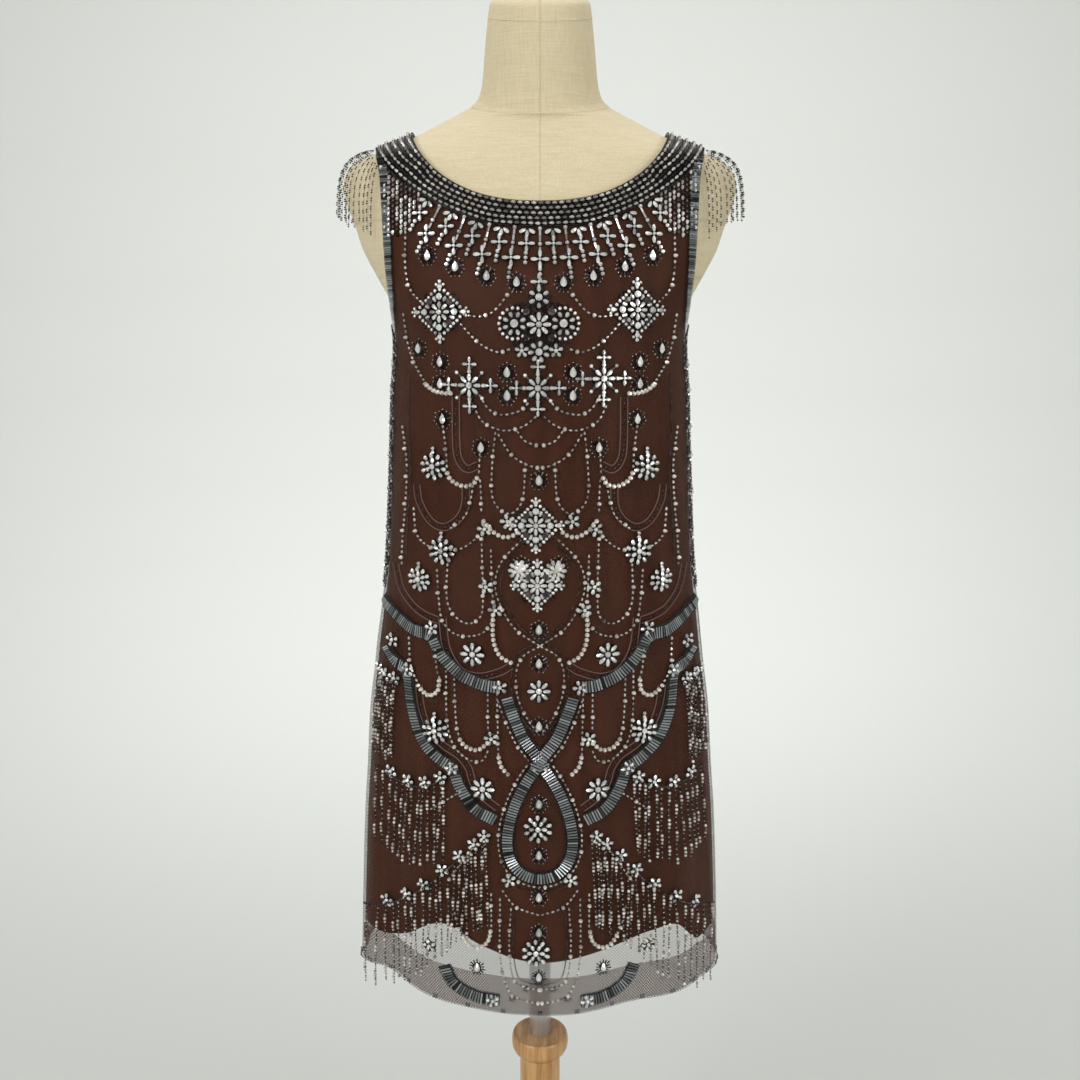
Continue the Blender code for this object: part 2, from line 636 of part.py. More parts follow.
# Raised clusters of large stones on the front: middle place, size across and down, and petal count.
MEDALLIONS = {
    "medallion_left": (-0.0945, 1.2405, 0.040, 0.042, 8),
    "medallion_right": (0.0915, 1.2425, 0.040, 0.042, 8),
    "medallion_centre": (-0.001, 1.2285, 0.076, 0.062, 10),
    "cross_flower_left": (-0.0665, 1.1715, 0.046, 0.046, 8),
    "cross_flower_right": (0.0600, 1.1780, 0.046, 0.046, 8),
    "cross_flower_centre": (-0.0020, 1.1695, 0.044, 0.044, 8),
    "waist_medallion": (-0.0040, 1.0375, 0.038, 0.038, 8),
    "drop_medallion": (-0.0025, 0.9785, 0.056, 0.052, 10),
}
PETAL_DEPTH = 0.13
WIDE_MEDALLION = 0.045
MEDALLION_LIFT = 0.0011


def medallion(net, name, row):
    """A low lobed plate on the net: its rim waves in and out once for each petal."""
    x0, z0, wide, tall, petals = row
    turn = np.linspace(0, 2 * math.pi, petals * 2, endpoint=False)
    reach = 1 - PETAL_DEPTH * (np.arange(petals * 2) % 2)
    count = petals * 2
    scales = (0.5, 1.0) if wide > WIDE_MEDALLION else (1.0,)
    layers = [(scale, 0.0) for scale in scales] + [(1.0, 0.7)] + [(scale, 1.0) for scale in scales[:-1]]
    rings = []
    for scale, rise in layers:
        x = x0 + scale * reach * wide / 2 * np.cos(turn)
        z = z0 + scale * reach * tall / 2 * np.sin(turn)
        rings.append(on_net(net, place_u(x, z), z, MEDALLION_LIFT + rise * MEDALLION_THICK))
    middle_u = place_u(np.array([x0]), np.array([z0]))
    ends = [
        on_net(net, middle_u, np.array([z0]), MEDALLION_LIFT + rise * MEDALLION_THICK) for rise in (0, 1)
    ]
    points = np.concatenate(rings + ends)
    top, under, over = len(rings) - 1, len(rings) * count, len(rings) * count + 1
    faces = []
    for i in range(count):
        k = (i + 1) % count
        for ring in range(top):
            start, after = ring * count, (ring + 1) * count
            faces.append((start + i, start + k, after + k, after + i))
        faces.append((under, i, k))
        faces.append((over, top * count + k, top * count + i))
    return add_body(name, "crystal", points, faces)


def fringe_body(name, stations, strands):
    """A narrow backing strip with strands drawn down out of it, all one body.

    stations holds, for the left and right side of each strand's root in turn, the four corners of the
    strip's section: top inside, top outside, bottom outside and bottom inside. strands holds, for each
    strand, rings of four points: left outside, right outside, right inside and left inside.
    """
    points = [p for station in stations for p in station]
    faces = []
    last = len(stations) - 1
    for s in range(last):
        a, b = s * 4, (s + 1) * 4
        faces += [(a, b, b + 1, a + 1), (a + 1, b + 1, b + 2, a + 2), (a + 3, b + 3, b, a)]
        if s % 2:
            faces.append((a + 2, b + 2, b + 3, a + 3))
    faces += [(0, 1, 2, 3), (last * 4 + 3, last * 4 + 2, last * 4 + 1, last * 4)]
    for k, rings in enumerate(strands):
        a, b = 2 * k * 4, (2 * k + 1) * 4
        ring = [a + 2, b + 2, b + 3, a + 3]
        for below in rings:
            start = len(points)
            points += list(below)
            after = [start, start + 1, start + 2, start + 3]
            for m in range(4):
                n = (m + 1) % 4
                faces.append((ring[m], ring[n], after[n], after[m]))
            ring = after
        faces.append(tuple(ring))
    return add_body(name, "fringe_bead", points, faces)


STRAND_WIDE = 0.0018
STRAND_THICK = 0.0014
STRIP_TALL = 0.0040
# Fringe tiers on one half of a panel: places (x, z) along the root line, strand count, how far the
# strands hang down, and the height that none passes.
TIERS = {
    "tier_top": (((0.1445, 0.862), (0.152, 0.862), (0.160, 0.8625), (0.166, 0.864)), 6, 0.084, 0.60),
    "tier_middle": (((0.093, 0.776), (0.108, 0.767), (0.128, 0.760), (0.150, 0.7605), (0.170, 0.766)), 10, 0.085, 0.60),
    "tier_low": (
        ((0.051, 0.7195), (0.066, 0.706), (0.089, 0.684), (0.116, 0.655), (0.147, 0.628), (0.186, 0.600)),
        12, 0.095, 0.49,
    ),
}
TIER_DROPS = (1.0,)
FRINGE_LIFT = {"tier_top": 0.0015, "tier_middle": 0.0010, "tier_low": 0.0012}


def tier_fringe(net, name, shape, hand):
    """One tier of hanging fringe on a half panel."""
    places, count, hang, floor = TIERS[shape]
    u, z = even_path(net, [(hand * x, height) for x, height in places], count)
    along_u, _ = steps_on_net(net, u, z)
    half = STRAND_WIDE / 2 / np.linalg.norm(along_u, axis=-1)
    lift = FRINGE_LIFT[shape]
    near, far = lift, lift + STRAND_THICK
    slope = np.gradient(z, u)
    stations, strands = [], []
    for k in range(count):
        for way in (-hand, hand):
            side_u = u[k] + way * half[k]
            side_z = z[k] + way * half[k] * slope[k]
            corners = ((side_z + STRIP_TALL, near), (side_z + STRIP_TALL, far), (side_z, far), (side_z, near))
            stations.append([on_net(net, side_u, height, away) for height, away in corners])
        rings = []
        for share in TIER_DROPS:
            drop = max(z[k] - hang * share, floor)
            sides = ((-hand, far), (hand, far), (hand, near), (-hand, near))
            rings.append([on_net(net, u[k] + way * half[k], drop, away) for way, away in sides])
        strands.append(rings)
    return fringe_body(name, stations, strands)


SHOULDER_STRANDS = 11
SHOULDER_HANG = 0.070
SHOULDER_REACH_DOWN = 0.020
SHOULDER_CLEAR = 0.0035
SHOULDER_GAP = 0.0009
# Points down a strand from its root, over the shoulder's top and on the chest or back: how far out
# along x, and how far down.
OVER_TOP = ((0.0165, 0.004), (0.0317, 0.012), (0.044, SHOULDER_HANG))
ON_CHEST = ((0.002, 0.012), (0.004, 0.034), (0.006, SHOULDER_HANG))


def off_form(point, side):
    """The point, moved out along y until it lies clear of the form."""
    x, y, z = point
    half, depth, centre = section(FORM_SECTIONS, z, side)
    share = min(abs(x) / half, 1)
    least = depth * math.sqrt(1 - share ** ROUNDNESS) + SHOULDER_CLEAR if share < 1 else 0
    return np.array([x, centre + side * max(side * (y - centre), least), z])


def shoulder_fringe(nets, name, hand):
    """Fringe along the outer edge of a strap, which falls over the form's shoulder."""
    places = np.linspace(-1, 1, SHOULDER_STRANDS)
    ridge = float(ridge_height(np.array([ARMHOLE[-1][1]]))[0])
    roots = []
    for s in places:
        net = nets[FRONT] if s <= 0 else nets[BACK]
        z = ridge - SHOULDER_REACH_DOWN * s * s - 0.0008
        roots.append(on_net(net, float(hand), z, -0.0005))
    roots = np.array(roots)
    along = np.gradient(roots, axis=0)
    along /= np.linalg.norm(along, axis=-1, keepdims=True)
    up = np.array([0.0, 0.0, 1.0])
    stations, strands = [], []
    for k, s in enumerate(places):
        side = FRONT if s <= 0 else BACK
        angle = s * math.radians(75)
        away = np.array([hand * math.cos(angle), math.sin(angle), 0])
        step = along[k] * STRAND_WIDE / 2
        root = roots[k] + away * SHOULDER_GAP
        thick = (up * math.cos(angle) + away * abs(math.sin(angle))) * STRAND_THICK
        reach = away * 0.0022 * math.cos(angle) - up * 0.003 * abs(math.sin(angle))
        for way in (-1, 1):
            base = root + way * step
            stations.append([base, base + thick, base + reach + thick, base + reach])
        over_top = math.cos(angle) ** 2
        rings = []
        for (top_out, top_down), (chest_out, chest_down) in zip(OVER_TOP, ON_CHEST):
            out = over_top * top_out + (1 - over_top) * chest_out
            down = over_top * top_down + (1 - over_top) * chest_down
            middle = off_form(root + reach + np.array([hand * out, 0, -down]), side)
            deep = away * STRAND_THICK if rings else (away + up) / math.sqrt(2) * STRAND_THICK
            rings.append([middle - step + deep, middle + step + deep, middle + step, middle - step])
        strands.append(rings)
    return fringe_body(name, stations, strands)


def turned(name, slot, profile, segments):
    """A solid turned round the z axis from a profile of radius and height, with flat ends."""
    turn = np.linspace(0, 2 * math.pi, segments, endpoint=False)
    circle = np.stack([np.cos(turn), np.sin(turn)], -1)
    points = np.concatenate([
        np.column_stack([radius * circle, np.full(segments, height)]) for radius, height in profile
    ])
    faces = []
    for ring in range(len(profile) - 1):
        for i in range(segments):
            k = (i + 1) % segments
            start, after = ring * segments, (ring + 1) * segments
            faces.append((start + i, start + k, after + k, after + i))
    faces.append(tuple(range(segments))[::-1])
    faces.append(tuple(range((len(profile) - 1) * segments, len(profile) * segments)))
    return add_body(name, slot, points, faces, 30)


def form_rings():
    """Rings of points of the dress form, from its flat bottom to the neck's cap."""
    turn = np.linspace(0, 2 * math.pi, FORM_SEGMENTS, endpoint=False)
    cosine, sine = np.cos(turn), np.sin(turn)
    rings = []
    for z, half, front, back, centre in FORM_SECTIONS:
        x = (half - FORM_INSET) * np.sign(cosine) * np.abs(cosine) ** (2 / ROUNDNESS)
        depth = np.where(sine < 0, front, back) - FORM_INSET
        lower = FORM_RIDGE_DROP if z > WIDEST_Z else 0
        rings.append(np.column_stack([x, centre + depth * sine, np.full(FORM_SEGMENTS, z - lower)]))
    for z, half, depth, centre, lean in NECK_RINGS:
        tilt = math.radians(lean)
        y = depth * sine
        rings.append(np.column_stack([half * cosine, centre + y * math.cos(tilt), z + y * math.sin(tilt)]))
    return rings


def add_form():
    """The dress form: hips, waist, bust, shoulders and neck in one smooth body."""
    rings = form_rings()
    points = np.concatenate(rings)
    count = FORM_SEGMENTS
    faces = []
    for ring in range(len(rings) - 1):
        for i in range(count):
            k = (i + 1) % count
            start, after = ring * count, (ring + 1) * count
            faces.append((start + i, start + k, after + k, after + i))
    faces.append(tuple(range(count))[::-1])
    faces.append(tuple(range((len(rings) - 1) * count, len(rings) * count)))
    return add_body("form_torso", "form_linen", points, faces, 50)


def add_stand():
    """Pole, turned column and round base."""
    pole = ((POLE_RADIUS, COLUMN_PROFILE[-1][1] + TOUCH_GAP), (POLE_RADIUS, POLE_TOP_Z))
    turned("stand_pole", "pole_chrome", pole, 24)
    turned("stand_column", "stand_wood", COLUMN_PROFILE, TURNED_SEGMENTS)
    turned("stand_base", "stand_wood", BASE_PROFILE, TURNED_SEGMENTS)


def hem_band(side, place):
    """The turned-up hem of the net, a second layer inside its lower edge."""
    panel = make_panel(NET_ROWS, NET_HEM, side)
    bottom = smooth_table(NET_HEM[side], 1, panel["u"])
    lines = []
    for share in (1.0, 0.5, 0.0):
        lines.append(bottom + 0.0006 + HEM_BAND_DEEP * share)
    inner, outer = (
        np.stack([on_net(panel, panel["u"], z, distance - NET[1] + NET[0]) for z in lines], 1)
        for distance in HEM_BAND
    )
    return grid_shell(f"hem_band_{place}", "net_mesh", inner, outer)


def main():
    """Builds every piece."""
    clear_scene()
    nets = {}
    for side, place in ((FRONT, "front"), (BACK, "back")):
        net = make_panel(NET_ROWS, NET_HEM, side)
        nets[side] = net
        grid_shell(f"net_{place}", "net_mesh", *shell_grid(net, *NET, True), net["cells"])
        lining = make_panel(LINING_ROWS, LINING_HEM, side)
        grid_shell(f"lining_{place}", "lining_satin", *shell_grid(lining, *LINING, False), lining["cells"])
        hem_band(side, place)
        neck_band(net, f"neck_band_{place}")
        add_ribbons(net, place)
        for hand, hand_name in ((-1, "left"), (1, "right")):
            armhole_trim(net, f"armhole_trim_{place}_{hand_name}", hand)
            for shape in TIERS:
                tier_fringe(net, f"{shape}_{place}_{hand_name}", shape, hand)
    for name, row in MEDALLIONS.items():
        medallion(nets[FRONT], name, row)
    for hand, hand_name in ((-1, "left"), (1, "right")):
        shoulder_fringe(nets, f"shoulder_fringe_{hand_name}", hand)
    add_form()
    add_stand()


main()
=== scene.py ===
# %% [markdown]
# # A beaded mini dress on a dress form
#
# The real thing is a sleeveless net dress, sewn all over with beads and stones, worn over a brown satin
# lining. It stands on a limbless linen form with a chrome pole and a turned wooden stand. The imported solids
# give every piece its place. This script gives them their finish: cloth as thin shells, and thousands of
# small beads, each one a real little shape that lies on the net.
#
# Metres, +Z up, the dress front faces -Y.

# %% Load the frame
import math

import bmesh
import bpy
import numpy as np
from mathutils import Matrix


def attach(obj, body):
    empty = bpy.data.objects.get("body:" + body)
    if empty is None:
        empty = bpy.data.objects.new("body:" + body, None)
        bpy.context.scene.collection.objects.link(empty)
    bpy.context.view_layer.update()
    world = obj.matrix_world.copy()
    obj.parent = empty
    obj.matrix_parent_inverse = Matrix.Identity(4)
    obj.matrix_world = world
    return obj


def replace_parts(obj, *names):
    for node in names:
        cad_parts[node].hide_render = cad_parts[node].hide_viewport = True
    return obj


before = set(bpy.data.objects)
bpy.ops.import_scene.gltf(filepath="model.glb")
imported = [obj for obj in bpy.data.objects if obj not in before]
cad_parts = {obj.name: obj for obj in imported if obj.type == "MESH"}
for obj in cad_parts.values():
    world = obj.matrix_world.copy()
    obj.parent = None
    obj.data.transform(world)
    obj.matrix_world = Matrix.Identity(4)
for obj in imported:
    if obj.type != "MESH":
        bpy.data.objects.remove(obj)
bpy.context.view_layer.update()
dice = np.random.default_rng(20)
print("solids loaded:", len(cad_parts))

# %% [markdown]
# ## Small helpers
#
# Colours are written as the hex values that a screen shows, and one function turns them into the linear
# light that a shader works with. Another adds a shader node with its settings and its links.

# %% Colour and node helpers
def linear(hex_colour):
    """Linear red, green, blue and alpha of an sRGB hex colour: c/12.92 in the dark, else ((c+.055)/1.055)^2.4."""
    shares = [int(hex_colour[i:i + 2], 16) / 255 for i in (1, 3, 5)]
    return [c / 12.92 if c <= 0.04045 else ((c + 0.055) / 1.055) ** 2.4 for c in shares] + [1.0]


def start_finish(name, **sockets):
    """A new material, its Principled BSDF set from sockets whose spaces are written as underscores."""
    finish = bpy.data.materials.new(name)
    finish.use_nodes = True
    shader = finish.node_tree.nodes["Principled BSDF"]
    for socket, value in sockets.items():
        shader.inputs[socket.replace("_", " ")].default_value = value
    return finish


def add(finish, kind, inputs=None, **settings):
    """Adds a shader node. inputs maps a socket's name or number to a value or to another node's output."""
    node = finish.node_tree.nodes.new(kind)
    for name, value in settings.items():
        setattr(node, name, value)
    for socket, value in (inputs or {}).items():
        if isinstance(value, bpy.types.NodeSocket):
            finish.node_tree.links.new(value, node.inputs[socket])
        else:
            node.inputs[socket].default_value = value
    return node


def wire(finish, output, socket):
    """Links an output to a socket of the material's Principled BSDF."""
    shader = finish.node_tree.nodes["Principled BSDF"]
    finish.node_tree.links.new(output, shader.inputs[socket])


def two_colours(finish, share, dark, light):
    """Mixes two hex colours by a share and wires them to the base colour."""
    mix = add(finish, "ShaderNodeMix", {"Factor": share, 6: linear(dark), 7: linear(light)}, data_type="RGBA")
    wire(finish, mix.outputs[2], "Base Color")
    return mix.outputs[2]


def raise_bump(finish, height, distance):
    """Turns a height pattern into bump of a real depth in metres."""
    bump = add(finish, "ShaderNodeBump", {"Height": height, "Distance": distance, "Strength": 1.0})
    wire(finish, bump.outputs["Normal"], "Normal")


print("mid grey #808080 is", round(linear("#808080")[0], 3), "of full light")

# %% [markdown]
# A mesh is made from whole arrays: one of points, and one of faces that all have the same number of corners.

# %% Mesh helper
def add_mesh(name, points, faces, finish, slot, smooth=True):
    """An object from an array of points and an array of faces, with its finish. When a slot is given, the object is
    attached to the body root.
    """
    mesh = bpy.data.meshes.new(name)
    points = np.asarray(points, np.float32)
    faces = np.asarray(faces, np.int32)
    corners = faces.shape[1]
    mesh.vertices.add(len(points))
    mesh.vertices.foreach_set("co", points.ravel())
    mesh.loops.add(faces.size)
    mesh.loops.foreach_set("vertex_index", faces.ravel())
    mesh.polygons.add(len(faces))
    mesh.polygons.foreach_set("loop_start", np.arange(0, faces.size, corners, dtype=np.int32))
    mesh.polygons.foreach_set("use_smooth", np.full(len(faces), smooth))
    mesh.update(calc_edges=True)
    mesh.materials.append(finish)
    piece = bpy.data.objects.new(name, mesh)
    bpy.context.scene.collection.objects.link(piece)
    if slot:
        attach(piece, "root")
    return piece


# %% [markdown]
# ## The surface of the dress
#
# A dress on a form is a stack of rounded sections. Each row below holds one height with its half width, its
# depth to the front and to the back and where its middle lies. A smooth curve runs through each column. A
# place on a panel is given by u, from -1 at one side seam to 1 at the other, and by its height.

# %% Sections and edges of the dress
FRONT, BACK = -1, 1
SIDES = {FRONT: "front", BACK: "back"}
HANDS = {-1: "left", 1: "right"}
SHOULDERS = (
    # height, half width, front depth, back depth, middle y
    (1.254, 0.1600, 0.1270, 0.1060, 0.004), (1.275, 0.1715, 0.1230, 0.1065, 0.006),
    (1.305, 0.1870, 0.1140, 0.1050, 0.008), (1.330, 0.1950, 0.1060, 0.1010, 0.009),
    (1.354, 0.2035, 0.0970, 0.0950, 0.010), (1.368, 0.2055, 0.0910, 0.0900, 0.010),
    (1.378, 0.2030, 0.0870, 0.0860, 0.010), (1.386, 0.1970, 0.0835, 0.0830, 0.010),
    (1.394, 0.1840, 0.0800, 0.0800, 0.010), (1.402, 0.1650, 0.0755, 0.0770, 0.010),
    (1.410, 0.1440, 0.0710, 0.0745, 0.010), (1.416, 0.1300, 0.0675, 0.0725, 0.010),
    (1.430, 0.1020, 0.0575, 0.0680, 0.009),
)
DRESS = (
    (0.480, 0.2010, 0.1525, 0.1490, 0.000), (0.573, 0.1980, 0.1500, 0.1450, 0.000),
    (0.622, 0.1960, 0.1485, 0.1425, 0.000), (0.696, 0.1920, 0.1455, 0.1385, 0.000),
    (0.744, 0.1880, 0.1435, 0.1355, 0.000), (0.815, 0.1830, 0.1405, 0.1305, 0.000),
    (0.861, 0.1770, 0.1385, 0.1270, 0.000), (0.930, 0.1690, 0.1360, 0.1215, 0.000),
    (0.975, 0.1630, 0.1345, 0.1175, 0.000), (1.041, 0.1590, 0.1330, 0.1125, 0.001),
    (1.106, 0.1560, 0.1320, 0.1090, 0.002), (1.149, 0.1545, 0.1315, 0.1075, 0.003),
    (1.212, 0.1505, 0.1310, 0.1060, 0.003),
) + SHOULDERS
FORM = (
    (0.7200, 0.1300, 0.0800, 0.0880, 0.000), (0.7240, 0.1400, 0.0890, 0.0970, 0.000),
    (0.7350, 0.1470, 0.0940, 0.1020, 0.000), (0.7900, 0.1580, 0.1020, 0.1140, 0.000),
    (0.8600, 0.1640, 0.1060, 0.1200, 0.000), (0.9300, 0.1500, 0.0990, 0.1060, 0.000),
    (0.9900, 0.1300, 0.0900, 0.0900, 0.000), (1.0400, 0.1190, 0.0870, 0.0820, 0.000),
    (1.0900, 0.1220, 0.0940, 0.0860, 0.001), (1.1500, 0.1350, 0.1120, 0.0940, 0.002),
    (1.2120, 0.1475, 0.1270, 0.1020, 0.003),
) + SHOULDERS
ROUNDNESS = 2.3
UNDERARM_Z, WIDEST_Z = 1.212, 1.368
ARMHOLE = ((1.212, 0.1505), (1.268, 0.152), (1.324, 0.154), (1.370, 0.157), (1.402, 0.166))
NECK_CORNER_X, NECK_LOW_Z, NECK_RISE = 0.129, 1.343, 0.076
NET_HEM = {
    FRONT: ((-1, 0.516), (-0.6, 0.541), (-0.3, 0.531), (0, 0.526), (0.3, 0.530), (0.6, 0.527), (1, 0.508)),
    BACK: ((-1, 0.516), (-0.6, 0.524), (-0.2, 0.519), (0.2, 0.522), (0.6, 0.517), (1, 0.508)),
}
LINING_HEM = {
    FRONT: ((-1, 0.580), (-0.68, 0.577), (-0.54, 0.588), (-0.34, 0.617), (-0.2, 0.599), (0, 0.583),
            (0.2, 0.592), (0.49, 0.606), (0.68, 0.570), (1, 0.574)),
    BACK: ((-1, 0.580), (-0.5, 0.604), (-0.1, 0.585), (0.3, 0.590), (0.6, 0.608), (1, 0.574)),
}
HEM_BAND_DEEP = 0.040
STRAP_U = 0.59
NET_FACE, NET_SAG = 0.0020, 0.0016
FOLDS = ((9, 0.45, 0.4), (5, 0.35, 2.1), (13, 0.20, 4.4))
FOLD_DEEP, FOLDS_START_Z, FOLDS_FULL_Z = 0.0062, 1.08, 0.55
print("sections:", len(DRESS), "for the dress,", len(FORM), "for the form")

# %% [markdown]
# A table is read between its rows with a curve that never overshoots them, so that a tape laid round the dress
# at any height would lie as flat as at the measured ones. The shoulder ridge and the neckline have formulas of
# their own.

# %% Reading the tables
def smooth_table(rows, column, at):
    """A cubic through a table's column whose slope at each row is the harmonic mean of the slopes beside it."""
    rows = np.array(rows, float)
    x, y = rows[:, 0], rows[:, column]
    step = np.diff(x)
    slope = np.diff(y) / step
    tangent = np.zeros(len(x))
    tangent[0], tangent[-1] = slope[0], slope[-1]
    same_way = slope[1:] * slope[:-1] > 0
    left, right = 2 * step[1:] + step[:-1], step[1:] + 2 * step[:-1]
    with np.errstate(divide="ignore", invalid="ignore"):
        mean = (left + right) / (left / slope[:-1] + right / slope[1:])
    tangent[1:-1] = np.where(same_way, mean, 0)
    at = np.clip(at, x[0], x[-1])
    k = np.clip(np.searchsorted(x, at) - 1, 0, len(x) - 2)
    t = (at - x[k]) / step[k]
    start = (1 + 2 * t) * (1 - t) ** 2 * y[k] + t * (1 - t) ** 2 * step[k] * tangent[k]
    end = t * t * (3 - 2 * t) * y[k + 1] + t * t * (t - 1) * step[k] * tangent[k + 1]
    return start + end


def section(rows, z, side):
    """Half width, depth and middle of the section at height z."""
    return tuple(smooth_table(rows, column, z) for column in (1, 2 if side == FRONT else 3, 4))


def ridge_height(x):
    """Height of the shoulder ridge at a distance x from the middle."""
    z = np.linspace(WIDEST_Z, SHOULDERS[-1][0], 400)
    return np.interp(x, smooth_table(SHOULDERS, 1, z)[::-1], z[::-1])


def neckline_height(x):
    """Neckline from the front: low + rise (1 - (1 - (x / corner)^2.4)^(2/3)), a scoop that ends steeply."""
    share = np.clip(np.abs(x) / NECK_CORNER_X, 0, 1)
    return NECK_LOW_Z + NECK_RISE * (1 - (1 - share ** 2.4) ** (2 / 3))


def neckline_x(z):
    """How far out the neckline lies at height z."""
    share = np.clip((z - NECK_LOW_Z) / NECK_RISE, 0, 1)
    return NECK_CORNER_X * (1 - (1 - share) ** 1.5) ** (1 / 2.4)


print("half width at the waist:", round(float(smooth_table(DRESS, 1, 1.04)), 4), "m")

# %% [markdown]
# Below the armhole a panel runs from side seam to side seam. Above it the panel's edge is the armhole, and at
# the top only the straps are left, between the neckline and the armhole. These functions turn a place on a
# panel into a point in space, and a point seen from the front into a place on the panel.

# %% From a place on a panel to a point in space
def edge_angle(z):
    """Angle round the section at which the panel ends: a quarter turn at the side seam, less at the armhole."""
    held = np.minimum(z, WIDEST_Z)
    angle = np.arcsin(np.clip(smooth_table(ARMHOLE, 1, held) / smooth_table(DRESS, 1, held), 0, 1))
    return np.where(z <= UNDERARM_Z, math.pi / 2, angle)


def edge_x(z):
    """Half width of the panel at height z."""
    return np.where(z <= UNDERARM_Z, smooth_table(DRESS, 1, z), smooth_table(ARMHOLE, 1, z))


def chest_x(u, z):
    """x below the straps: the edge's x times sin(u angle) / sin(angle)."""
    angle = edge_angle(z)
    return edge_x(z) * np.sin(u * angle) / np.sin(angle)


def find_height(u, limit, low, high):
    """Height in each column where the surface meets a limit given as a height for each x, by halving."""
    low, high = np.full(len(u), low), np.full(len(u), high)
    for _ in range(40):
        middle = (low + high) / 2
        above = middle > limit(np.abs(across(u, middle)))
        high = np.where(above, middle, high)
        low = np.where(above, low, middle)
    return low


def strap_share(u):
    """Share of the strap's width, from the neckline to the armhole, at a column."""
    inner, outer = chest_x(STRAP_U, STRAP_Z), chest_x(1.0, STRAP_Z)
    return (chest_x(np.abs(u), STRAP_Z) - inner) / (outer - inner)


def across(u, z):
    """The x of a place on a panel."""
    inner = neckline_x(z)
    strap = np.sign(u) * (inner + strap_share(u) * (edge_x(z) - inner))
    return np.where((z > STRAP_Z) & (np.abs(u) >= STRAP_U), strap, chest_x(u, z))


def place_u(x, z):
    """The u of the place on a panel that lies at x."""
    angle = edge_angle(z)
    chest = np.arcsin(np.clip(x * np.sin(angle) / edge_x(z), -1, 1)) / angle
    fine = np.linspace(STRAP_U, 1, 60)
    inner = neckline_x(z)
    share = (np.abs(x) - inner) / (edge_x(z) - inner)
    strap = np.sign(x) * np.interp(share, strap_share(fine), fine)
    return np.where((z > STRAP_Z) & (np.abs(x) > inner - 0.001), strap, chest)


heights_tried = np.linspace(NECK_LOW_Z, ARMHOLE[-1][0], 4000)
below_neckline = neckline_height(chest_x(STRAP_U, heights_tried)) > heights_tried
STRAP_Z = float(heights_tried[below_neckline].max())
print("the straps begin at", round(STRAP_Z, 4), "m")


# %% [markdown]
# The skirt hangs in soft folds that grow towards the hem. On top of these, worn net and satin show long thin
# creases. Each is listed one by one: where it lies round the panel, how wide and deep it is, and from which
# height to which it runs. The back has its own set, like the front's.

# %% Folds and creases
CREASES = {
    # u, width in u, depth in mm (minus is a trough), top, bottom
    FRONT: (
        (-0.93, 0.030, 1.6, 0.93, 0.52), (-0.84, 0.022, -1.3, 0.98, 0.56), (-0.71, 0.026, 1.4, 0.90, 0.52),
        (-0.58, 0.020, -1.1, 0.80, 0.55), (-0.40, 0.028, 1.2, 1.02, 0.60), (-0.27, 0.018, -0.9, 1.12, 0.72),
        (-0.10, 0.024, 1.1, 0.76, 0.53), (0.07, 0.020, -1.0, 0.98, 0.62), (0.21, 0.026, 1.2, 1.10, 0.66),
        (0.37, 0.018, -1.1, 0.84, 0.53), (0.52, 0.026, 1.4, 1.00, 0.58), (0.66, 0.022, -1.3, 0.88, 0.52),
        (0.79, 0.028, 1.6, 0.97, 0.54), (0.91, 0.022, -1.4, 1.05, 0.52),
    ),
    BACK: (
        (-0.90, 0.028, 1.5, 1.00, 0.52), (-0.77, 0.022, -1.2, 0.90, 0.54), (-0.61, 0.026, 1.3, 0.97, 0.58),
        (-0.44, 0.020, -1.1, 1.06, 0.66), (-0.29, 0.024, 1.2, 0.82, 0.53), (-0.12, 0.020, -0.9, 0.95, 0.60),
        (0.04, 0.026, 1.2, 1.10, 0.70), (0.18, 0.018, -1.0, 0.85, 0.53), (0.34, 0.026, 1.3, 0.99, 0.57),
        (0.49, 0.022, -1.1, 0.91, 0.53), (0.63, 0.026, 1.4, 1.03, 0.61), (0.76, 0.020, -1.2, 0.88, 0.52),
        (0.88, 0.028, 1.6, 0.98, 0.53),
    ),
}


def fold_push(u, z, side):
    """Three sine waves round the skirt, growing with the fall below the waist."""
    turn = u * math.pi / 2
    turn = turn if side == FRONT else math.pi - turn
    wave = sum(size * np.sin(count * turn + start) for count, size, start in FOLDS)
    fall = np.clip((FOLDS_START_Z - z) / (FOLDS_START_Z - FOLDS_FULL_Z), 0, 1.1)
    return FOLD_DEEP * fall ** 1.6 * wave * (0.55 + 0.45 * np.sin(turn) ** 2)


def crease_push(u, z, side):
    """Sum of ridges depth exp(-((u - u0) / width)^2), each fading out over 40 mm at both ends."""
    push = 0
    for u0, wide, deep, top, bottom in CREASES[side]:
        lean = 0.02 * np.sin(9 * z + 20 * u0)
        ends = np.clip((top - z) / 0.04, 0, 1) * np.clip((z - bottom) / 0.04 + 0.4, 0, 1)
        push = push + deep / 1000 * np.exp(-((u - u0 - lean) / wide) ** 2) * ends
    return push


print("creases:", {place_name: len(CREASES[side]) for side, place_name in SIDES.items()})

# %% [markdown]
# With the sections and the folds the surface is complete. Everything that is sewn on asks these functions for
# its points and for the way out of the cloth, so nothing sinks in or floats.

# %% The surface with its folds
def dress_surface(u, z, side):
    """y = middle + depth (1 - (x / half)^2.3)^(1 / 2), pushed out by the folds along the section's normal."""
    x = across(u, z)
    half, depth, centre = section(DRESS, z, side)
    share = np.clip(np.abs(x) / half, 0, 1)
    y = centre + side * depth * np.sqrt(1 - share ** ROUNDNESS)
    out = np.stack([x / half ** 2, (y - centre) / depth ** 2], -1)
    out /= np.linalg.norm(out, axis=-1, keepdims=True)
    push = fold_push(u, z, side)
    return np.stack([x + push * out[..., 0], y + push * out[..., 1], z + 0 * x], -1)


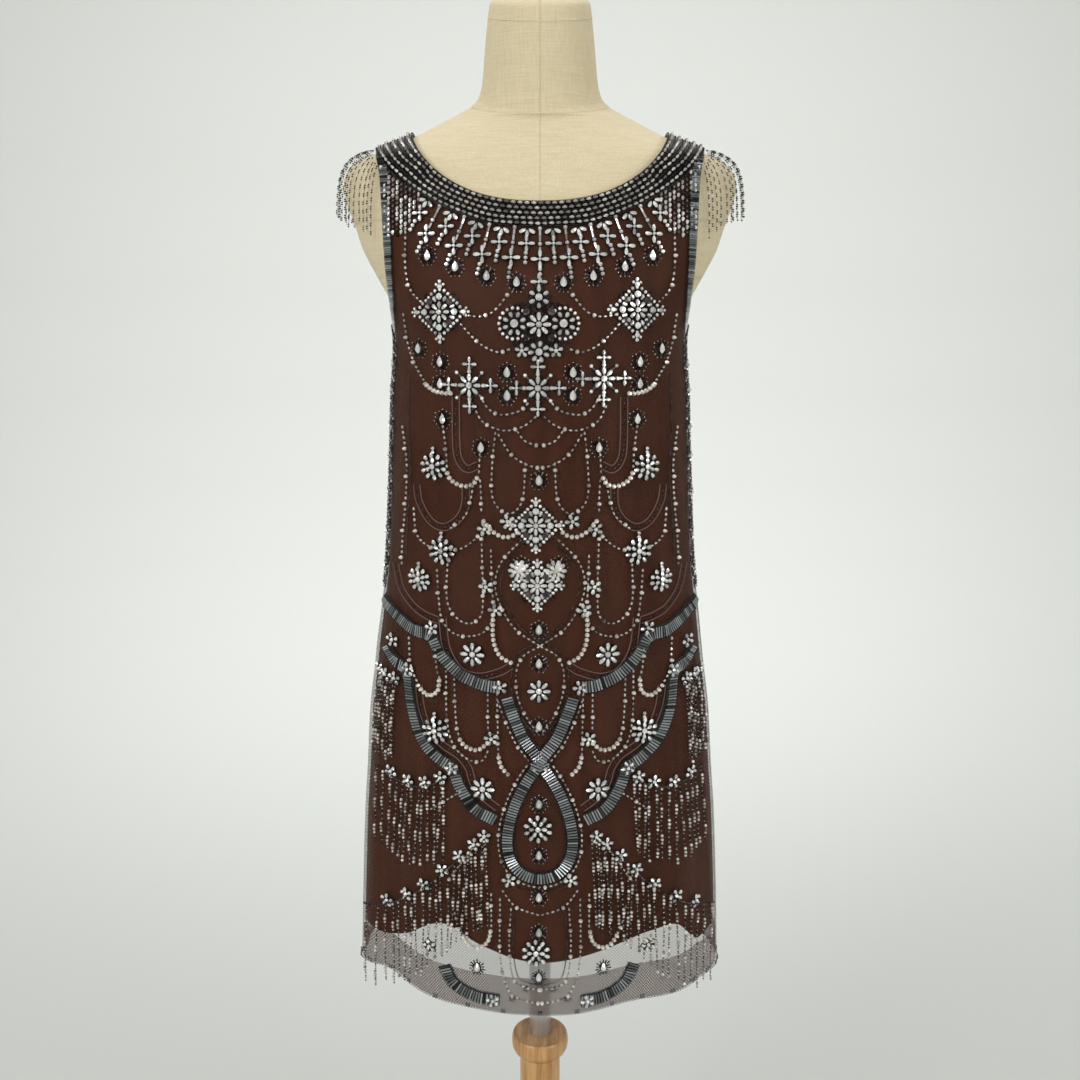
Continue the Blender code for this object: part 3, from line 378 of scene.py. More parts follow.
def out_direction(u, z, side, points):
    """Unit normals: the section's gradient above the underarm, and the cross of two small steps below it."""
    small = 1e-4
    x, y = points[..., 0], points[..., 1]
    half, depth, centre = section(DRESS, z, side)
    half_up, depth_up, centre_up = section(DRESS, z + small, side)
    share = np.clip(np.abs(x) / half, 0, 1)
    rise = (y - centre) / depth
    grow = ROUNDNESS * share ** ROUNDNESS * (half_up - half) / half
    grow += 2 * rise ** 2 * (depth_up - depth) / depth + 2 * rise * (centre_up - centre) / depth
    smooth = np.stack([
        ROUNDNESS * share ** (ROUNDNESS - 1) * np.sign(x) / half, 2 * rise / depth, -grow / small,
    ], -1)
    inward = np.where(u > 0, -small, small)
    here = dress_surface(u, z, side)
    along_u = (dress_surface(u + inward, z, side) - here) / inward[..., None]
    along_z = dress_surface(u, z + small, side) - here
    folded = np.cross(along_u, along_z) * -side
    out = np.where((z < UNDERARM_Z - small)[..., None], folded, smooth)
    return out / np.linalg.norm(out, axis=-1, keepdims=True)


def cloth(u, z, side, lift, crease=1.0):
    """Points over the dress surface at a lift, and the unit directions out of it."""
    u, z = np.broadcast_arrays(np.asarray(u, float), np.asarray(z, float))
    points = dress_surface(u, z, side)
    out = out_direction(u, z, side, points)
    far = lift + crease * crease_push(u, z, side)
    return points + np.asarray(far)[..., None] * out, out


def net_lift(z):
    """How far the net's outer face stands off the dress surface, more where the skirt hangs free."""
    return NET_FACE + NET_SAG * np.clip((1.20 - z) / 0.25, 0, 1)


def on_net(x, z, side, lift=0.0):
    """Points on the net that lie at (x, z) seen from the front, and the directions out of it."""
    x, z = np.broadcast_arrays(np.asarray(x, float), np.asarray(z, float))
    return cloth(place_u(x, z), z, side, net_lift(z) + lift)


print("the net's middle, 1 m up, lies at", np.round(on_net([0], [1.0], FRONT)[0][0], 4))

# %% [markdown]
# ## Cloth
#
# Nylon net is a sheer mesh of fine threads: it dims and warms what lies behind it. Its threads are 0.1 mm
# thick and can't show at this distance, so the pattern is drawn coarser, as crossed threads 1.1 mm apart, and
# works through the shader's own alpha. Satin is smooth and softly shiny along its length.

# %% Net and satin finishes
NET_THREAD_M = 0.0011
SATIN_THREAD_M = 0.0007


def thread_lines(finish, spacing, turn, share_of_thread):
    """Lines at a spacing in metres, turned round Y: 1 on a thread, falling to 0 between two."""
    place = add(finish, "ShaderNodeTexCoord")
    turned = add(finish, "ShaderNodeMapping", {"Vector": place.outputs["Object"], "Rotation": (0, turn, 0)})
    parts = add(finish, "ShaderNodeSeparateXYZ", {0: turned.outputs[0]})
    count = add(finish, "ShaderNodeMath", {0: parts.outputs["X"], 1: spacing}, operation="DIVIDE")
    saw = add(finish, "ShaderNodeMath", {0: count.outputs[0], 1: 1.0}, operation="PINGPONG")
    return add(finish, "ShaderNodeMath", {0: share_of_thread, 1: saw.outputs[0]}, operation="GREATER_THAN").outputs[0]


def net_finish(name, dark, light, least, most):
    """Dyed nylon net: alpha runs from least between threads to most on them, with cloudy unevenness."""
    finish = start_finish(name, Roughness=0.85, Specular_IOR_Level=0.15, Sheen_Weight=0.06, Sheen_Roughness=0.4)
    one = thread_lines(finish, NET_THREAD_M, math.radians(38), 0.42)
    other = thread_lines(finish, NET_THREAD_M, math.radians(-38), 0.42)
    threads = add(finish, "ShaderNodeMath", {0: one, 1: other}, operation="MAXIMUM").outputs[0]
    place = add(finish, "ShaderNodeTexCoord")
    cloud = add(finish, "ShaderNodeTexNoise", {"Vector": place.outputs["Object"], "Scale": 14.0, "Detail": 3.0})
    two_colours(finish, cloud.outputs[0], dark, light)
    alpha = add(finish, "ShaderNodeMapRange", {0: threads, 3: least, 4: most})
    wire(finish, alpha.outputs[0], "Alpha")
    return finish


net_mesh = net_finish("dyed_nylon_net", "#3a241b", "#5e4235", 0.08, 0.26)
hem_mesh = net_finish("doubled_nylon_net", "#63443a", "#93716a", 0.13, 0.46)

satin = start_finish("brown_lining_satin", Roughness=0.55, Specular_IOR_Level=0.16, Sheen_Weight=0.03)
place = add(satin, "ShaderNodeTexCoord")
streaks = add(satin, "ShaderNodeMapping", {"Vector": place.outputs["Object"], "Scale": (60, 60, 4)})
drift = add(satin, "ShaderNodeTexNoise", {"Vector": streaks.outputs[0], "Scale": 1.0, "Detail": 3.0})
two_colours(satin, drift.outputs[0], "#31140a", "#66361f")
weft = add(satin, "ShaderNodeTexNoise", {"Vector": place.outputs["Object"], "Scale": 1 / SATIN_THREAD_M})
raise_bump(satin, weft.outputs[0], 0.00012)
print("net threads to the metre:", round(1 / NET_THREAD_M), "satin:", round(1 / SATIN_THREAD_M))

# %% [markdown]
# Each panel is one grid. Its top rows belong to the straps alone, so the cells between the straps are left out.

# %% The grid of a panel
STRAP_ROWS, CHEST_ROWS, SKIRT_ROWS, HALF_COLUMNS = 12, 22, 90, 44


def cells(columns, rows):
    """First corner of every cell of a grid whose points are counted column by column."""
    i, j = np.meshgrid(np.arange(columns - 1), np.arange(rows - 1), indexing="ij")
    return i * rows + j


def panel_grid(hem, side):
    """u and z of every point of a panel, and the cells that exist, as indices of their first corners."""
    strap_columns = int(round((1 - STRAP_U) * HALF_COLUMNS)) + 1
    half = np.concatenate([
        np.linspace(0, STRAP_U, HALF_COLUMNS - strap_columns + 2)[:-1], np.linspace(STRAP_U, 1, strap_columns),
    ])
    columns = np.concatenate([-half[:0:-1], half])
    on_strap = np.abs(columns) >= STRAP_U - 1e-9
    neck = find_height(np.where(on_strap, 0, columns), neckline_height, 1.30, 1.40)
    start = np.where(on_strap, STRAP_Z, neck)
    ridge = find_height(np.where(on_strap, columns, 1), ridge_height, STRAP_Z, 1.425)
    top = np.where(on_strap, ridge, neck)
    strap = top[:, None] - (top - start)[:, None] * np.linspace(0, 1, STRAP_ROWS + 1)[:-1] ** 2
    chest = start[:, None] - (start - UNDERARM_Z)[:, None] * np.linspace(0, 1, CHEST_ROWS + 1)
    bottom = smooth_table(hem[side], 1, columns)
    skirt = UNDERARM_Z - (UNDERARM_Z - bottom)[:, None] * np.linspace(0, 1, SKIRT_ROWS + 1)[1:]
    z = np.concatenate([strap, chest, skirt], 1)
    u = np.repeat(columns[:, None], z.shape[1], 1)
    below_straps = np.arange(z.shape[1] - 1) >= STRAP_ROWS
    exists = below_straps | (on_strap[:-1] & on_strap[1:])[:, None]
    return u, z, cells(*z.shape)[exists]


def grid_faces(first, rows, side):
    """Four-cornered faces from the first corner of each cell, turned outward."""
    faces = np.stack([first, first + rows, first + rows + 1, first + 1], -1)
    return faces[:, ::-1] if side == FRONT else faces


def drop_unused(points, faces):
    """Points that some face uses, and the faces counted anew."""
    used = np.unique(faces)
    return points[used], np.searchsorted(used, faces)


print("cells in a net panel:", len(panel_grid(NET_HEM, FRONT)[2]))

# %% [markdown]
# From the inside out there are three layers: lining, turned-up hem and net. The outer face of each is its grid,
# and a Solidify modifier gives it its small thickness.

# %% Panels
NET_THICK, LINING_THICK = 0.0004, 0.0006
LINING_LIFT, LINING_CREASE = 0.0004, 0.8
HEM_INSIDE, HEM_RAISED, HEM_ROWS = 0.0015, 0.0004, 8


def thicken(piece, thickness):
    """A wall of a thickness, grown inward from the outer face."""
    wall = piece.modifiers.new("wall", "SOLIDIFY")
    wall.thickness = thickness
    wall.offset = -1
    return piece


def add_panel(name, hem, side, lift_of, thickness, finish, slot, crease):
    """One panel of cloth as a thin shell."""
    u, z, first = panel_grid(hem, side)
    points, _ = cloth(u, z, side, lift_of(z), crease)
    faces = grid_faces(first, z.shape[1], side)
    points, faces = drop_unused(points.reshape(-1, 3), faces)
    return thicken(add_mesh(name, points, faces, finish, slot), thickness)


def hem_grid(side):
    """u and z of the doubled hem: 40 mm up from the net's lower edge."""
    columns = np.linspace(-1, 1, 2 * HALF_COLUMNS + 1)
    bottom = smooth_table(NET_HEM[side], 1, columns)
    z = bottom[:, None] + HEM_RAISED + HEM_BAND_DEEP * np.linspace(1, 0, HEM_ROWS + 1)
    return np.repeat(columns[:, None], z.shape[1], 1), z, cells(*z.shape).ravel()


panels = []
for side, place_name in SIDES.items():
    lining = add_panel(f"satin_{place_name}", LINING_HEM, side, lambda z: LINING_LIFT + 0 * z, LINING_THICK,
                       satin, "lining_satin", LINING_CREASE)
    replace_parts(lining, f"lining_{place_name}")
    net = add_panel(f"tulle_{place_name}", NET_HEM, side, net_lift, NET_THICK, net_mesh, "net_mesh", 1.0)
    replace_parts(net, f"net_{place_name}")
    u, z, first = hem_grid(side)
    points, _ = cloth(u, z, side, net_lift(z) - HEM_INSIDE)
    hem = add_mesh(f"hem_turnup_{place_name}", points.reshape(-1, 3), grid_faces(first, z.shape[1], side),
                   hem_mesh, "net_mesh")
    thicken(hem, NET_THICK)
    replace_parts(hem, f"hem_band_{place_name}")
    panels += [lining, net, hem]
print("cloth panels:", len(panels))

# %% [markdown]
# ## Beads
#
# There are many thousand beads, so each shape has only a few faces and is made once, one unit in half size. A
# bead could also be an instance of one object, but a finished mesh can be weighed, exported and looked at as
# it is.

# %% Bead shapes
def oval_shape():
    """A seed or rice bead: two rings of five between two tips, which is a twenty-sided solid."""
    turn = np.arange(5) * 2 * math.pi / 5
    near = np.stack([np.full(5, 0.447), 0.894 * np.cos(turn), 0.894 * np.sin(turn)], -1)
    far = np.stack([np.full(5, -0.447), 0.894 * np.cos(turn + math.pi / 5), 0.894 * np.sin(turn + math.pi / 5)], -1)
    points = np.concatenate([near, far, [[1, 0, 0], [-1, 0, 0]]])
    i = np.arange(5)
    k = (i + 1) % 5
    faces = np.concatenate([
        np.stack([i, k, np.full(5, 10)], -1), np.stack([5 + k, 5 + i, np.full(5, 11)], -1),
        np.stack([k, i, 5 + i], -1), np.stack([k, 5 + i, 5 + k], -1),
    ])
    return points, faces


def seed_shape():
    """A tiny seed bead: eight faces."""
    points = np.array([[1, 0, 0], [-1, 0, 0], [0, 1, 0], [0, -1, 0], [0, 0, 1], [0, 0, -1]], float)
    faces = np.array([[0, 2, 4], [2, 1, 4], [1, 3, 4], [3, 0, 4], [2, 0, 5], [1, 2, 5], [3, 1, 5], [0, 3, 5]])
    return points, faces


def tube_shape(corners=5):
    """A bugle: a short glass tube with flat ends."""
    turn = np.arange(corners) * 2 * math.pi / corners + math.pi / 2
    ring = np.stack([np.cos(turn), np.sin(turn)], -1)
    points = np.concatenate([np.column_stack([np.full(corners, end), ring]) for end in (-1, 1)])
    i = np.arange(corners)
    k = (i + 1) % corners
    fan = np.arange(1, corners - 1)
    faces = np.concatenate([
        np.stack([i, k, corners + k], -1), np.stack([i, corners + k, corners + i], -1),
        np.stack([0 * fan, fan + 1, fan], -1), corners + np.stack([0 * fan, fan, fan + 1], -1),
    ])
    return points, faces


print("triangles in an oval bead:", len(oval_shape()[1]))

# %% [markdown]
# A cut stone has a flat table on top, a girdle where it is widest and a foot below. Its outline from above says
# whether it is round, a pear or a petal.

# %% Stone shapes
def stone_shape(outline, table=0.55):
    """A cut stone: an outline at the girdle, a smaller one as the flat table, and a closed foot."""
    count = len(outline)
    foot = np.column_stack([outline * 0.8, np.full(count, -0.6)])
    girdle = np.column_stack([outline, np.full(count, 0.0)])
    crown = np.column_stack([outline * table, np.full(count, 1.0)])
    points = np.concatenate([foot, girdle, crown])
    i = np.arange(count)
    k = (i + 1) % count
    fan = np.arange(1, count - 1)
    faces = [np.stack([0 * fan, fan + 1, fan], -1), 2 * count + np.stack([0 * fan, fan, fan + 1], -1)]
    for ring in (0, 1):
        a, b = ring * count, (ring + 1) * count
        faces += [np.stack([a + i, a + k, b + k], -1), np.stack([a + i, b + k, b + i], -1)]
    return points, np.concatenate(faces)


def round_outline(count=8):
    """Corners of a round stone."""
    turn = np.arange(count) * 2 * math.pi / count
    return np.stack([np.cos(turn), np.sin(turn)], -1)


def pear_outline(count=10):
    """Corners of a pear: a circle drawn out to a point at +x."""
    turn = np.arange(count) * 2 * math.pi / count
    point = np.maximum(np.cos(turn), 0) ** 3
    return np.stack([np.cos(turn) * (0.75 + 0.45 * point) - 0.1, np.sin(turn) * (0.78 - 0.2 * point)], -1)


def petal_outline(count=8):
    """Corners of a petal: wide at +x, its outer end, and narrower towards the flower's middle."""
    turn = np.arange(count) * 2 * math.pi / count
    return np.stack([np.cos(turn), np.sin(turn) * (0.82 + 0.18 * np.cos(turn))], -1)


SHAPES = {
    "petal": (*stone_shape(petal_outline(), 0.45), False),
    "seed": (*seed_shape(), True), "oval": (*oval_shape(), True), "tube": (*tube_shape(), False),
    "stone": (*stone_shape(round_outline()), False), "pear": (*stone_shape(pear_outline(), 0.5), False),
}
print({name: len(faces) for name, (_, faces, _) in SHAPES.items()}, "faces a bead")

# %% [markdown]
# A tray holds beads until all are laid out, as a beader sorts them before sewing. Joining them into one mesh
# at the end keeps the scene light: one object for a whole dress side's stones, not thousands of objects.

# %% Trays
trays = {}


def lay(tray, shape, centres, along, out, half_sizes, tone=0.5, spread=0.25):
    """Puts beads in a tray: their middles, which way they lie, which way is out and their half sizes in metres.

    half_sizes is (length, width, height). Each bead's own tone, kept on the mesh, lets the finish vary from
    bead to bead, as glass from different strands does.
    """
    centres = np.atleast_2d(centres)
    if not len(centres):
        return
    along = np.broadcast_to(along, centres.shape)
    out = np.broadcast_to(out, centres.shape)
    half_sizes = np.broadcast_to(half_sizes, centres.shape)
    tones = np.clip(tone + dice.normal(0, spread, len(centres)), 0, 1)
    trays.setdefault(tray, []).append((shape, centres, along, out, half_sizes, tones))


def sew_on(tray, finish, slot):
    """Makes one mesh of a tray: middle + x length along + y width sideways + z height out, for every bead."""
    points, faces, tones, smooth, start = [], [], [], [], 0
    for shape, centres, along, out, half, tone in trays.pop(tray):
        unit, unit_faces, is_smooth = SHAPES[shape]
        along = along - (along * out).sum(-1, keepdims=True) * out
        along = along / np.maximum(np.linalg.norm(along, axis=-1, keepdims=True), 1e-9)
        sideways = np.cross(out, along)
        turned = np.stack([along, sideways, out], 1) * half[:, :, None]
        points.append((centres[:, None] + np.einsum("pk,nkc->npc", unit, turned)).reshape(-1, 3))
        count = len(centres)
        faces.append((unit_faces + start + len(unit) * np.arange(count)[:, None, None]).reshape(-1, 3))
        tones.append(np.repeat(tone, len(unit)))
        smooth.append(np.full(count * len(unit_faces), is_smooth))
        start += count * len(unit)
    piece = add_mesh(tray, np.concatenate(points), np.concatenate(faces), finish, slot)
    piece.data.polygons.foreach_set("use_smooth", np.concatenate(smooth))
    held = piece.data.attributes.new("tone", "FLOAT", "POINT")
    held.data.foreach_set("value", np.concatenate(tones).astype(np.float32))
    print(tray, sum(len(f) for f in faces), "triangles")
    return piece


# %% [markdown]
# A thread of beads follows a smooth line through a few places on the dress, given in millimetres as seen from
# the front: x from the middle, z from the floor. The pattern on the thread repeats: each entry names a tray,
# a shape, a length along the thread and a width in millimetres, and a tone.

# %% Threads
def smooth_line(places, steps=10):
    """Catmull-Rom curve: on each span a cubic whose slope at a place is half the way between its neighbours."""
    p = np.array(places, float) / 1000
    p = np.concatenate([[2 * p[0] - p[1]], p, [2 * p[-1] - p[-2]]])
    t = np.linspace(0, 1, steps, endpoint=False)[:, None]
    a, b, c, d = (p[k:len(p) - 3 + k, None] for k in range(4))
    spans = (2 * b + (c - a) * t + (2 * a - 5 * b + 4 * c - d) * t ** 2 + (3 * b - a - 3 * c + d) * t ** 3) / 2
    return np.concatenate([spans.reshape(-1, 2), p[-2:-1]])


def run_along(points):
    """Distance from the start of a line to each of its points."""
    return np.concatenate([[0], np.cumsum(np.linalg.norm(np.diff(points, axis=0), axis=1))])


def read_along(at, run, rows):
    """Points or directions read off a line at given distances, straight between its own."""
    return np.stack([np.interp(at, run, rows[:, axis]) for axis in range(3)], -1)


def string_beads(points, out, pattern, from_start=0.0):
    """Lays a repeating pattern of beads along a line of points in space, the first at from_start metres."""
    run = run_along(points)
    ahead = np.gradient(points, axis=0)
    lengths = np.array([entry[2] for entry in pattern]) / 1000
    period = lengths.sum()
    starts = np.cumsum(lengths) - lengths / 2
    for k, (tray, shape, length, wide, tone) in enumerate(pattern):
        if tray is None:
            continue
        at = np.arange(from_start + starts[k], run[-1], period)
        at = at[at > 0]
        middles, ways, outs = (read_along(at, run, rows) for rows in (points, ahead, out))
        outs /= np.linalg.norm(outs, axis=-1, keepdims=True)
        half = np.array([length * 0.47, wide / 2, wide / 2]) / 1000
        lay(tray, shape, middles + outs * half[2], ways, outs, half, tone)


def thread_on(places, side, pattern):
    """A thread of beads on the net, and its mirror image on the other half."""
    for hand in (1, -1):
        line = smooth_line([(hand * x, z) for x, z in places])
        string_beads(*on_net(*line.T, side), pattern)


print("three places make a line of", len(smooth_line(((0, 0), (10, -4), (20, 0)))), "points")

# %% [markdown]
# Flowers, crosses and bursts are sets of beads laid round a middle. Their offsets are polar: a distance from
# the middle in millimetres and a turn in degrees, and each bead points along its own turn.

# %% Beads round a middle
def ring_of(tray, shape, middle, side, distance, turns, size, tone=0.6, lift=0.0):
    """Beads at a distance from a middle (x, z in mm), one for each turn in degrees, pointing outward.

    A cut stone sits on a dark setting a little wider than itself. Its dark rim is partly a real setting and partly
    painted shade round the stone.
    """
    turns = np.radians(np.atleast_1d(np.asarray(turns, float)))
    distance = np.broadcast_to(distance, turns.shape) / 1000
    x = middle[0] / 1000 + distance * np.cos(turns)
    z = middle[1] / 1000 + distance * np.sin(turns)
    points, out = on_net(x, z, side)
    small = 0.001
    ahead, _ = on_net(x + small * np.cos(turns), z + small * np.sin(turns), side)
    half = np.array(size) / 2000
    lay(tray, shape, points + out * (half[2] + lift / 1000), ahead - points, out, half, tone)
    if shape in ("stone", "petal", "pear"):
        # Dark oval under each cut stone: partly a setting, partly painted shade where the stone's shadow would fall.
        setting_and_shade = half * 1.12 + [0.0006, 0.0006, 0]
        setting_and_shade[2] = 0.0007 + lift / 2000
        lay(f"dark_seeds_{SIDES[side]}", "oval", points + out * setting_and_shade[2], ahead - points, out, setting_and_shade, 0.12)


def even_turns(count, first=0.0):
    """Turns in degrees, evenly spaced."""
    return first + np.arange(count) * 360 / count


def dark_disc(middle, side, wide, tall, spacing=2.1):
    """A lobed field of dark seeds under a cluster, in rows set half a step apart."""
    rows = np.arange(-tall / 2, tall / 2 + 0.1, spacing * 0.87)
    x, z = np.meshgrid(np.arange(-wide / 2, wide / 2 + 0.1, spacing), rows)
    x = x + (np.arange(len(rows))[:, None] % 2) * spacing / 2
    turn = np.arctan2(z / tall, x / wide)
    inside = np.hypot(2 * x / wide, 2 * z / tall) < 1 - 0.06 * (1 - np.cos(8 * turn))
    x, z = (middle[0] + x[inside]) / 1000, (middle[1] + z[inside]) / 1000
    points, out = on_net(x, z, side)
    half = np.array([1.0, 1.0, 0.9]) / 1000
    lay(f"dark_seeds_{SIDES[side]}", "seed", points + out * 0.0007, np.array([1.0, 0, 0]), out, half, 0.35)


print("turns of eight petals, in degrees:", even_turns(8))

# %% [markdown]
# ## Bead finishes
#
# The pale stones and beads are glass with silver foil behind it, so they act like a soft mirror: bright where
# they face the light and dark at their edges. Seed beads have a gunmetal coat, bugles a steel-grey one, and
# the round smoky stones are dark glass. The tone number moves each bead between a darker and a lighter colour.

# %% Finishes for glass beads
def bead_finish(name, dark, light, metallic, roughness, coat=0.0):
    """Coated glass whose colour runs from dark to light with each bead's own tone."""
    finish = start_finish(name, Metallic=metallic, Roughness=roughness, Coat_Weight=coat, Coat_Roughness=0.05)
    tone = add(finish, "ShaderNodeAttribute", attribute_name="tone").outputs["Fac"]
    two_colours(finish, tone, dark, light)
    return finish


FINISHES = {
    "foiled_crystal": bead_finish("foil_backed_crystal", "#756f6c", "#fffdf9", 0.50, 0.18, 0.6),
    "silver_lined": bead_finish("silver_lined_glass", "#746b65", "#fbf5ec", 0.45, 0.22, 0.4),
    "gunmetal": bead_finish("gunmetal_seed_glass", "#121013", "#736d70", 0.75, 0.26),
    "steel_bugle": bead_finish("steel_grey_bugle_glass", "#1b1d1e", "#b4b9ba", 0.75, 0.22, 0.3),
    "smoky": bead_finish("smoky_cut_glass", "#1c1413", "#51423e", 0.20, 0.12, 0.8),
    "soutache": bead_finish("mauve_soutache_cord", "#6b504a", "#a88a82", 0.0, 0.7),
    "braid": bead_finish("dark_silk_braid", "#17110f", "#2b2220", 0.0, 0.75),
}
print("finishes:", ", ".join(FINISHES))

# %% [markdown]
# ## Motifs
#
# Flowers, crosses, bursts and round medallions are old motifs of beaded evening wear. Each is made here by a
# rule: so many petals at such a distance.

# %% Small motifs
def names_of(side):
    """Tray names of one side: cut stones, dark seeds."""
    return f"stones_{SIDES[side]}", f"dark_seeds_{SIDES[side]}"


def burst(middle, side):
    """A pear stone in a halo of fourteen short dark rays, long and short in turn, each with a tiny bright tip."""
    stones, dark = names_of(side)
    ring_of(stones, "pear", middle, side, 0, [90], (10.5, 8.4, 4.2), 1.0)
    rays = 14
    turns = even_turns(rays, 13)
    reach = 5.4 + 1.0 * np.abs(np.sin(np.radians(turns))) + 1.1 * (np.arange(rays) % 2)
    ring_of(dark, "tube", middle, side, reach, turns, (3.6, 1.5, 1.3), 0.05)
    ring_of(stones, "seed", middle, side, reach + 2.0, turns, (1.9, 1.5, 1.5), 0.6)


def cross(middle, side, size=1.0):
    """Four petals in a cross round a small bright bead."""
    stones, dark = names_of(side)
    ring_of(dark, "seed", middle, side, 4.2 * size, even_turns(4, 45), (3.0, 3.0, 1.6), 0.3)
    ring_of(stones, "petal", middle, side, 5.0 * size, even_turns(4), (7.2 * size, 4.6 * size, 3.2), 0.9)
    ring_of(stones, "stone", middle, side, 0, [0], (3.4, 3.4, 3.2), 1.0)


def daisy(middle, side, size=1.0):
    """Eight long petals round a cut stone, outlined with dark seeds."""
    stones, dark = names_of(side)
    ring_of(dark, "seed", middle, side, 6.6 * size, even_turns(8, 22.5), (5.6, 2.4, 1.8), 0.3)
    ring_of(dark, "seed", middle, side, 10.4 * size, even_turns(8, 22.5), (3.0, 2.6, 1.6), 0.3)
    ring_of(stones, "petal", middle, side, 8.0 * size, even_turns(8), (8.6 * size, 5.2 * size, 3.6), 0.95)
    ring_of(stones, "stone", middle, side, 0, [22], (6.4, 6.4, 4.0), 1.0)


def small_flower(middle, side, size=1.0, turn=0.0):
    """Five round petals round a cut stone."""
    stones, dark = names_of(side)
    ring_of(dark, "seed", middle, side, 5.2 * size, even_turns(5, turn + 36), (3.0, 3.0, 1.8), 0.3)
    ring_of(stones, "petal", middle, side, 4.9 * size, even_turns(5, turn), (5.6 * size, 4.8 * size, 3.4), 0.85)
    ring_of(stones, "stone", middle, side, 0, [0], (4.2, 4.2, 4.0), 1.0)


def cluster(middle, side, size=1.0, turn=0.0):
    """A heap of stones on a dark ground: a round one inside a ring of six petals and a ring of ten."""
    stones, _ = names_of(side)
    dark_disc(middle, side, 27 * size, 27 * size)
    ring_of(stones, "petal", middle, side, 11.2 * size, even_turns(10, turn + 20), (6.2, 5.0, 3.6), 0.8)
    ring_of(stones, "petal", middle, side, 6.0 * size, even_turns(6, turn), (6.0, 4.8, 4.0), 0.85, lift=0.4)
    ring_of(stones, "stone", middle, side, 0, [0], (6.0, 6.0, 4.8), 1.0, lift=0.8)


def stem(middle, side, turns, distances):
    """Single round beads that trail off from a motif."""
    stones, _ = names_of(side)
    for turn in turns:
        for away in distances:
            ring_of(stones, "stone", middle, side, away, [turn], (3.8, 3.8, 3.8 * 0.85), 0.85)


# %% [markdown]
# The large plates are sewn on dark ground. Their stones lie on rings of their own and rise towards the middle,
# which "lift" says in millimetres.

# %% Large motifs
def medallion(middle, side, size=1.0):
    """A lobed plate: a rim of ovals, cut and smoky stones with petals between, a flower and four tips."""
    stones, dark = names_of(side)
    dark_disc(middle, side, 46 * size, 46 * size)
    lobed = 19.0 + 2.0 * np.cos(np.radians(4 * even_turns(28)))
    ring_of(stones, "oval", middle, side, lobed * size, even_turns(28), (4.2, 3.9, 3.2), 0.75)
    ring_of(stones, "petal", middle, side, 13.0 * size, even_turns(8, 22.5), (6.0, 4.6, 3.8), 0.8)
    ring_of(f"smoky_{SIDES[side]}", "stone", middle, side, 13.6 * size, even_turns(4, 45), (7.0, 7.0, 4.8), 0.5)
    ring_of(stones, "stone", middle, side, 14.6 * size, even_turns(4), (6.8, 6.8, 5.0), 1.0, lift=0.4)
    ring_of(stones, "petal", middle, side, 6.6 * size, even_turns(8), (7.4, 4.6, 4.0), 0.95, lift=0.6)
    ring_of(stones, "stone", middle, side, 0, [0], (5.2, 5.2, 5.2), 1.0, lift=0.8)
    for turn in even_turns(4):
        way = math.radians(turn)
        tip = (middle[0] + 23.5 * size * math.cos(way), middle[1] + 23.5 * size * math.sin(way))
        ring_of(stones, "stone", tip, side, 0, [0], (5.2, 5.2, 4.0), 0.95)
        ring_of(stones, "oval", tip, side, 4.0, [turn - 60, turn, turn + 60], (3.6, 3.4, 3.0), 0.8)


def wide_medallion(middle, side):
    """The centre plate: a flower between two round side lobes, with smaller ones above and below."""
    stones, _ = names_of(side)
    x, z = middle
    dark_disc(middle, side, 74, 52)
    for hand in (-1, 1):
        lobe = (x + hand * 23, z + 1)
        open_arc = np.linspace(-125, 125, 13) + (0 if hand > 0 else 180)
        ring_of(stones, "oval", lobe, side, 14.2, open_arc, (4.0, 4.0, 3.2), 0.75)
        ring_of(stones, "petal", lobe, side, 8.6, even_turns(8, 22), (5.6, 4.8, 3.6), 0.8)
        ring_of(stones, "stone", lobe, side, 0, [0], (8.0, 8.0, 5.0), 1.0, lift=0.4)
        for up in (-1, 1):
            spot = (x + hand * 11.5, z + up * 12)
            ring_of(f"smoky_{SIDES[side]}", "stone", spot, side, 0, [0], (8.2, 8.2, 4.6), 0.5)
    ring_of(stones, "petal", middle, side, 7.4, even_turns(8), (8.4, 5.2, 4.2), 1.0, lift=0.6)
    ring_of(stones, "stone", middle, side, 0, [0], (6.0, 6.0, 5.4), 1.0, lift=0.8)
    for spot, count in (((x, z + 25), 6), ((x, z - 25), 7)):
        dark_disc(spot, side, 24, 20)
        ring_of(stones, "petal", spot, side, 7.4, even_turns(count, 30), (5.8, 5.0, 3.8), 0.85)
        ring_of(stones, "stone", spot, side, 0, [0], (7.2, 7.2, 5.0), 1.0, lift=0.5)
    for hand in (-1, 1):
        small_flower((x + hand * 16, z - 24), side, 0.9, 20)
    cross((x, z + 39), side, 0.95)


def snowflake(middle, side):
    """A star of eight arms: small crosses at the ends of the upright ones, single beads on the slanted ones."""
    stones, dark = names_of(side)
    x, z = middle
    dark_disc(middle, side, 26, 26)
    ring_of(stones, "petal", middle, side, 7.4, even_turns(8), (8.0, 5.0, 4.0), 0.95, lift=0.3)
    ring_of(stones, "stone", middle, side, 0, [0], (6.4, 6.4, 5.2), 1.0, lift=0.6)
    ring_of(stones, "stone", middle, side, 13.0, even_turns(4), (4.2, 4.2, 3.4), 0.9)
    ring_of(dark, "tube", middle, side, 13.2, even_turns(4, 45), (5.0, 1.8, 1.8), 0.8)
    ring_of(stones, "oval", middle, side, 17.0, even_turns(4, 45), (4.2, 4.2, 3.4), 0.85)
    for turn in (0, 90, 180, 270):
        away = math.radians(turn)
        cross((x + 20 * math.cos(away), z + 20 * math.sin(away)), side, 0.85)


# %% [markdown]
# ## Where the motifs lie
#
# Their places were measured on the photo through the scene's camera, in millimetres: x from the middle and z
# from the floor. Those in mirrored tables come in pairs. The back has the small motifs and the threads, but
# none of the large medallions.

